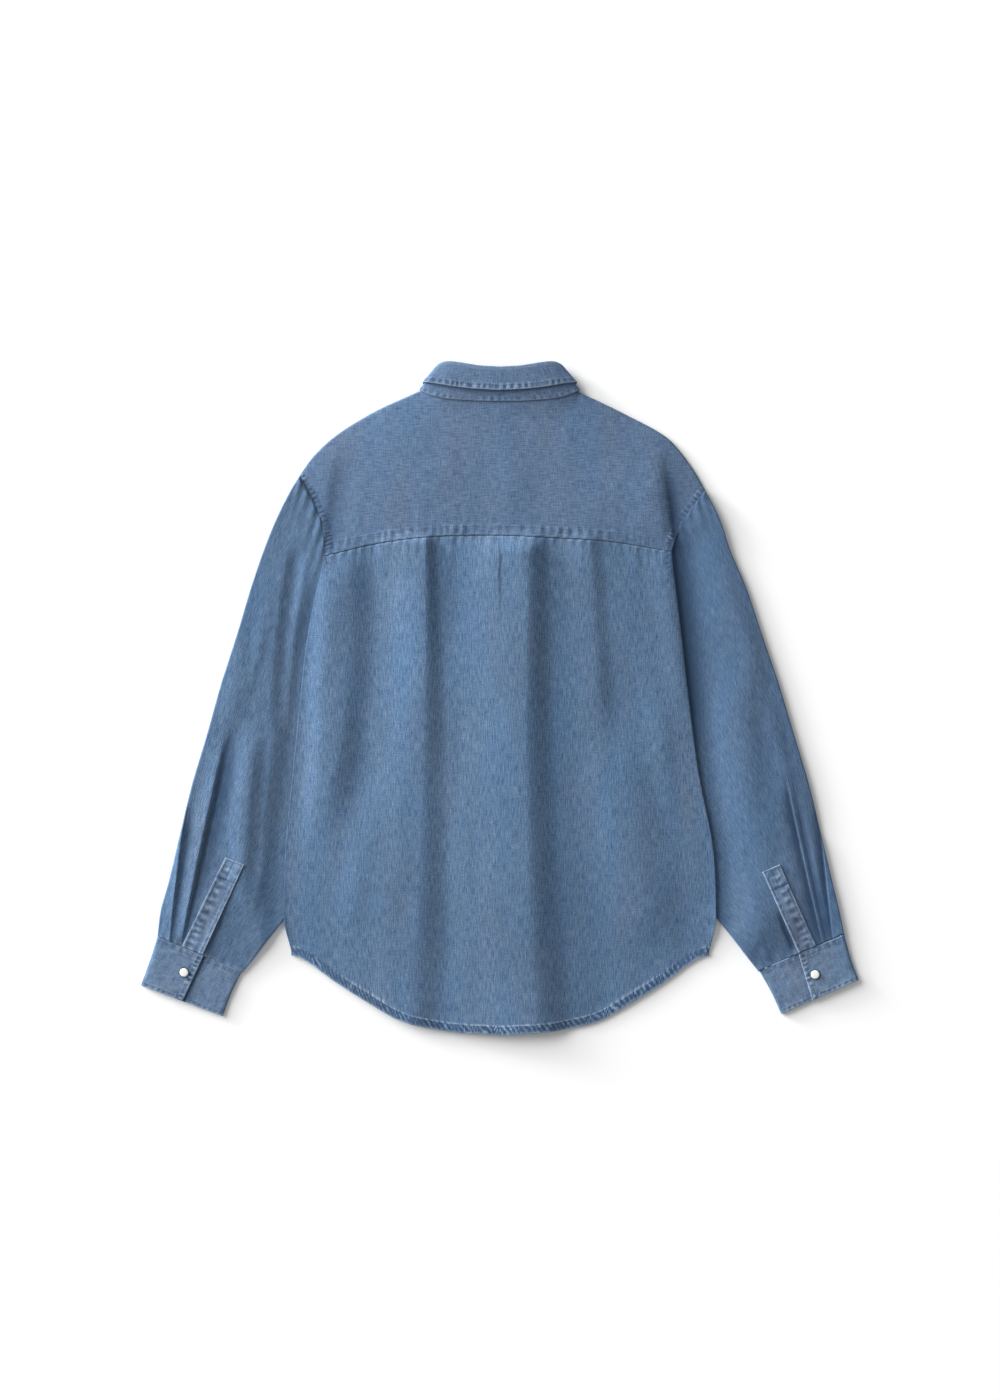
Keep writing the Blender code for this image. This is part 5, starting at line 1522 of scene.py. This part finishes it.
def make_back():
    rows = spread((14, 0.022), (110, 0.95), (26, 1.0))
    surface = back_surface(*np.meshgrid(spread_columns(290), rows))
    piece = grid_cloth("back_cloth", surface, surface.x, surface.y, body_denim())
    line = even(700, -STITCH_ENDS, STITCH_ENDS)
    depth = sizes().hem_band / MM
    up_hem = depth / hem_slant(line) / (at(YOKE_SEAM, line).y - hem_y(line))
    thread = stitched("hem_stitches", [back_surface(line, up_hem)], HEM_STITCH_RISE)
    settle(piece, ["back"])


def make_yoke():
    rows = spread((20, 0.09), (82, 0.80), (28, 1.0))
    surface = yoke_surface(*np.meshgrid(spread_columns(250), rows))
    piece = grid_cloth("yoke_cloth", surface, surface.x, surface.y, yoke_denim())
    band = sizes().seam_band / MM
    line, rising = even(500, -STITCH_ENDS, STITCH_ENDS), even(300, 0.05, 0.93)
    seam = at(YOKE_SEAM, line).y
    height = abs(yoke_top(line) - body_x(line, seam) - 1j * seam)
    lines = [yoke_surface(line, distance / height) for distance in (EDGE_STITCH, band * YOKE_BAND)]
    inset = 1 - 2 * band / (1 + ARMHOLE_SPREAD * rising) / YOKE_WIDTH
    lines += [yoke_surface(side * inset, rising) for side in (LEFT, RIGHT)]
    thread = stitched("yoke_stitches", lines)
    settle(piece, ["yoke"])


def make_fronts():
    for side, word in SIDES_OF_SHIRT:
        surface = front_surface(side, *np.meshgrid(even(70), even(130)))
        piece = grid_cloth("front_%s_cloth" % word, surface, surface.x, surface.y, body_denim(),
                           outward=1, flip=side == LEFT)
        settle(piece, ["front_" + word])
    surface = band_surface(*np.meshgrid(even(12, -1.0), even(160)))
    piece = grid_cloth("front_band_cloth", surface, surface.x, surface.y, yoke_denim(), outward=1)
    line, inset = even(500, 0.01, 0.99), 1 - sizes().trim_band / MM / BAND_HALF
    lines = [band_surface(share + 0 * line, line) for share in (-inset, inset)]
    thread = stitched("band_stitches", lines, BAND_STITCH_RISE)
    settle(piece, ["front_band"])


def make_sleeves():
    parts = spread((10, 0.02), (120, 0.86), (44, 1.0))
    for side, word in SIDES_OF_SHIRT:
        ring = [sleeve_surface(side, stretch, value, parts) for stretch, value in sleeve_ring(16)]
        surface = joined(ring, -1)
        piece = grid_cloth("sleeve_%s_cloth" % word, surface, *measured(surface), body_denim(),
                           flip=side == LEFT, tube=True)
        settle(piece, ["sleeve_" + word])


def make_plackets():
    line, box = even(200, 0.02, 0.98), even(60, 0.12, 0.88)
    for side, word in SIDES_OF_SHIRT:
        across, down = np.meshgrid(even(36), even(110))
        cut = CUTS["placket"]
        piece = grid_cloth("placket_%s_cloth" % word, placket_surface(side, across, down),
                           across * PLACKET_WIDTH, down * cut.length / MM, yoke_denim(),
                           flip=side == LEFT)
        lines = [placket_surface(side, share + 0 * line, line) for share in (0.1, 0.9)]
        lines += [placket_surface(side, box, share + 0 * box) for share in (0.025, 0.2)]
        thread = stitched("placket_%s_stitches" % word, lines)
        settle(piece, ["sleeve_placket_" + word])


def make_cuffs():
    line, lap, trim = even(400, 0.03, 0.99), even(120, 0.05, 0.95), sizes().trim_band / MM
    places = np.array([1.5, trim, CUFF_DEPTH - trim * CUFF_FOOT_TRIM]) / CUFF_DEPTH
    for side, word in SIDES_OF_SHIRT:
        surface = cuff_surface(side, *np.meshgrid(even(260), even(64)))
        piece = grid_cloth("cuff_%s_cloth" % word, surface, *measured(surface)[::-1],
                           yoke_denim(), wall=CUFF_CLOTH, flip=side == RIGHT)
        length = cuff_station(side, 0, np.array(1.0))[3]
        lines = [cuff_surface(side, line, place + 0 * line) for place in places]
        lines.append(cuff_surface(side, trim / length + 0 * lap, lap))
        thread = stitched("cuff_%s_stitches" % word, lines)
        settle(piece, ["cuff_" + word])


def make_collar():
    last = COLLAR[-1].step
    surface = stand_surface(*np.meshgrid(even(300, -last - 1, last + 1), even(26)))
    stand = grid_cloth("collar_stand_cloth", surface, *measured(surface)[::-1], yoke_denim())
    line = even(900, -last, last)
    thread = stitched("stand_stitches", [stand_surface(line, STAND_STITCH_UP + 0 * line)])
    settle(stand, ["collar_stand"])

    steps = even(300, -last, last)
    surface = joined([fall_surface(steps, share + 0 * steps, distance + 0 * steps, offset)
                      for share, distance, offset in fall_wrap(3, 10, even(34))[::-1]], 0)
    fall = grid_cloth("collar_fall_cloth", surface, *measured(surface)[::-1], yoke_denim())
    leaf = 1 - sizes().trim_band / MM / FALL_LEAF
    line = even(900, -last + 0.3, last - 0.3)
    edge = fall_surface(line, leaf + 0 * line, ROLL_RADIUS + 0 * line, FALL_OVER)
    thread = stitched("fall_stitches", [edge])
    settle(fall, ["collar"])


Dome = namedtuple("Dome", "radius rise")
CAP = (  # shares of a snap's radius and height: the pearl cap inside its ring
    Dome(0.0, 1.0),
    Dome(0.40, 0.995),
    Dome(0.70, 0.97),
    Dome(0.84, 0.91),
    Dome(0.91, 0.80),
    Dome(0.93, 0.58),
)
RING = (
    Dome(0.91, 0.58),
    Dome(0.93, 0.66),
    Dome(0.955, 0.68),
    Dome(0.98, 0.62),
    Dome(0.995, 0.46),
    Dome(1.0, 0.28),
    Dome(0.98, 0.0),
)


def turn_snap(bm, place, height, downward=False):
    """A pearl cap and its metal ring, turned about their axis. Corners that are done are tagged."""
    for number, profile in enumerate((CAP, RING)):
        verts = [bm.verts.new((row.radius * SNAP_RADIUS * MM, 0, row.rise * height * MM))
                 for row in profile]
        edges = [bm.edges.new(pair) for pair in zip(verts, verts[1:])]
        bmesh.ops.spin(bm, geom=verts + edges, cent=(0, 0, 0), axis=(0, 0, 1), angle=2 * math.pi,
                       steps=SNAP_STEPS, use_merge=True, use_duplicate=False)
        fresh = [vert for vert in bm.verts if not vert.tag]
        bmesh.ops.remove_doubles(bm, verts=fresh, dist=SNAP_MERGE)
        fresh = [vert for vert in bm.verts if not vert.tag]
        faces = {face for vert in fresh for face in vert.link_faces}
        bmesh.ops.recalc_face_normals(bm, faces=list(faces))
        for face in faces:
            face.material_index = number
        if downward:
            bmesh.ops.rotate(bm, verts=fresh, matrix=Euler((math.pi, 0, 0)).to_matrix())
            bmesh.ops.translate(bm, verts=fresh, vec=(0, 0, height * MM))
        bmesh.ops.translate(bm, verts=fresh, vec=Vector(place) * MM)
        for vert in fresh:
            vert.tag = True


def make_snaps():
    paints = [pearl_paint(), rim_paint()]
    for side, word in SIDES_OF_SHIRT:
        node, spot, bm = "cuff_snap_" + word, CUFF_SNAPS[side], bmesh.new()
        turn_snap(bm, (side * spot.real, spot.imag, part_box(node)[0].z / MM), CUFF_SNAP_HEIGHT)
        settle(add_piece("snap_" + word, bm, paints), [node])
    bm = bmesh.new()
    turn_snap(bm, (0, STAND_SNAP_Y, 0), FRONT_SNAP_HEIGHT, downward=True)
    for number in range(FRONT_SNAPS):
        spot = (0, FRONT_SNAP_TOP - FRONT_SNAP_PITCH * number, 0)
        turn_snap(bm, spot, FRONT_SNAP_HEIGHT, downward=True)
    nodes = ["front_snap_%d" % (number + 1) for number in range(FRONT_SNAPS)]
    settle(add_piece("front_snaps", bm, paints), ["stand_snap", *nodes])


# ---- stage --------------------------------------------------------------------------------------
CAMERA_LENS, CAMERA_SENSOR = 85.0, 36.0      # millimetres
VIEW_HEIGHT = 1.61                           # metres over the 1400 pixel side
VIEW_CENTRE = (0.0003, -0.0023)
KEY_DIRECTION = (-0.80, 0.46, 0.285)         # towards the main light
KEY_SIZE, KEY_POWER = 24.0, 13700.0
LOW_DIRECTION = (-0.80, 0.46, 0.10)          # towards the light that draws the long soft shadows
LOW_SIZE, LOW_POWER = 6.0, 7600.0
LIGHT_DISTANCE = 24.0
WORLD_STRENGTH = 0.40
FLOOR_HALF, FLOOR_DROP = 8.0, 0.0002         # metres


def area_light(name, direction, size_of, power):
    """A round light that looks at the origin."""
    light = bpy.data.lights.new(name, "AREA")
    light.shape = "DISK"
    light.size = size_of
    light.energy = power
    item = bpy.data.objects.new(name, light)
    bpy.context.scene.collection.objects.link(item)
    item.location = Vector(direction).normalized() * LIGHT_DISTANCE
    item.rotation_euler = (-item.location).to_track_quat("-Z", "Y").to_euler()


def make_stage():
    scene = bpy.context.scene
    bm = bmesh.new()
    bmesh.ops.create_grid(bm, x_segments=4, y_segments=4, size=FLOOR_HALF)
    paint, nodes, shader, place = new_paint("Floor")
    pale = opaque(colours().floor)
    dimmer = opaque([channel * 0.995 for channel in colours().floor])
    nodes.fill(shader, Base_Color=nodes.blend(nodes.noise(place, 1.5), dimmer, pale),
               Roughness=0.9, Specular_IOR_Level=0.1)
    floor = add_piece("floor", bm, [paint])
    floor.data.transform(Matrix.Translation((0, 0, -FLOOR_DROP)))

    area_light("Key light", KEY_DIRECTION, KEY_SIZE, KEY_POWER)
    area_light("Low light", LOW_DIRECTION, LOW_SIZE, LOW_POWER)
    world = bpy.data.worlds.new("Studio")
    world.use_nodes = True
    background = world.node_tree.nodes["Background"]
    background.inputs["Color"].default_value = (1.0, 1.0, 1.0, 1.0)
    background.inputs["Strength"].default_value = WORLD_STRENGTH
    scene.world = world
    scene.view_settings.view_transform = "Standard"

    lens = bpy.data.cameras.new("Camera")
    lens.lens = CAMERA_LENS
    lens.sensor_width = CAMERA_SENSOR
    camera = bpy.data.objects.new("Camera", lens)
    scene.collection.objects.link(camera)
    camera.location = (*VIEW_CENTRE, VIEW_HEIGHT * CAMERA_LENS / CAMERA_SENSOR)
    scene.camera = camera


# ---- add-on -------------------------------------------------------------------------------------
class PieceOperator:
    """Shared by the operators: each one makes its pieces and raises if it can't."""

    bl_options = {"REGISTER", "UNDO"}

    def execute(self, context):
        self.make()
        return {"FINISHED"}


class SHIRT_OT_fronts(PieceOperator, bpy.types.Operator):
    """Make both fronts and the band, which lie on the floor"""

    bl_idname = "shirt.fronts"
    bl_label = "Fronts"
    make = staticmethod(make_fronts)


class SHIRT_OT_back(PieceOperator, bpy.types.Operator):
    """Make the back panel with its folds and its roped hem"""

    bl_idname = "shirt.back"
    bl_label = "Back"
    make = staticmethod(make_back)


class SHIRT_OT_yoke(PieceOperator, bpy.types.Operator):
    """Make the yoke with its puckered seams"""

    bl_idname = "shirt.yoke"
    bl_label = "Yoke"
    make = staticmethod(make_yoke)


class SHIRT_OT_sleeves(PieceOperator, bpy.types.Operator):
    """Make both sleeves with their folds and pleats"""

    bl_idname = "shirt.sleeves"
    bl_label = "Sleeves"
    make = staticmethod(make_sleeves)


class SHIRT_OT_plackets(PieceOperator, bpy.types.Operator):
    """Make the placket of each sleeve"""

    bl_idname = "shirt.plackets"
    bl_label = "Plackets"
    make = staticmethod(make_plackets)


class SHIRT_OT_cuffs(PieceOperator, bpy.types.Operator):
    """Make both cuffs with their overlap"""

    bl_idname = "shirt.cuffs"
    bl_label = "Cuffs"
    make = staticmethod(make_cuffs)


class SHIRT_OT_collar(PieceOperator, bpy.types.Operator):
    """Make the collar's stand and fall"""

    bl_idname = "shirt.collar"
    bl_label = "Collar"
    make = staticmethod(make_collar)


class SHIRT_OT_snaps(PieceOperator, bpy.types.Operator):
    """Make the pearl snaps"""

    bl_idname = "shirt.snaps"
    bl_label = "Snaps"
    make = staticmethod(make_snaps)


class SHIRT_OT_stage(PieceOperator, bpy.types.Operator):
    """Make the floor, the lights and the camera"""

    bl_idname = "shirt.stage"
    bl_label = "Stage"
    make = staticmethod(make_stage)


OPERATORS = (SHIRT_OT_fronts, SHIRT_OT_back, SHIRT_OT_yoke, SHIRT_OT_sleeves, SHIRT_OT_plackets,
             SHIRT_OT_cuffs, SHIRT_OT_collar, SHIRT_OT_snaps, SHIRT_OT_stage)


class SHIRT_PT_panel(bpy.types.Panel):
    bl_idname = "SHIRT_PT_panel"
    bl_label = "Denim shirt"
    bl_space_type = "VIEW_3D"
    bl_region_type = "UI"
    bl_category = "Shirt"

    def draw(self, context):
        for group in (context.scene.shirt_sizes, context.scene.shirt_colours):
            column = self.layout.column(align=True)
            for name in group.__annotations__:
                column.prop(group, name)
        for operator in OPERATORS:
            self.layout.operator(operator.bl_idname)


CLASSES = (ShirtSizes, ShirtColours, *OPERATORS, SHIRT_PT_panel)


def register():
    for known in CLASSES:
        bpy.utils.register_class(known)
    bpy.types.Scene.shirt_sizes = bpy.props.PointerProperty(type=ShirtSizes)
    bpy.types.Scene.shirt_colours = bpy.props.PointerProperty(type=ShirtColours)


def unregister():
    del bpy.types.Scene.shirt_sizes, bpy.types.Scene.shirt_colours
    for known in reversed(CLASSES):
        bpy.utils.unregister_class(known)


def main():
    register()
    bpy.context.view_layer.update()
    for operator in OPERATORS:
        group, name = operator.bl_idname.split(".")
        getattr(getattr(bpy.ops, group), name)()


if __name__ == "__main__":
    main()
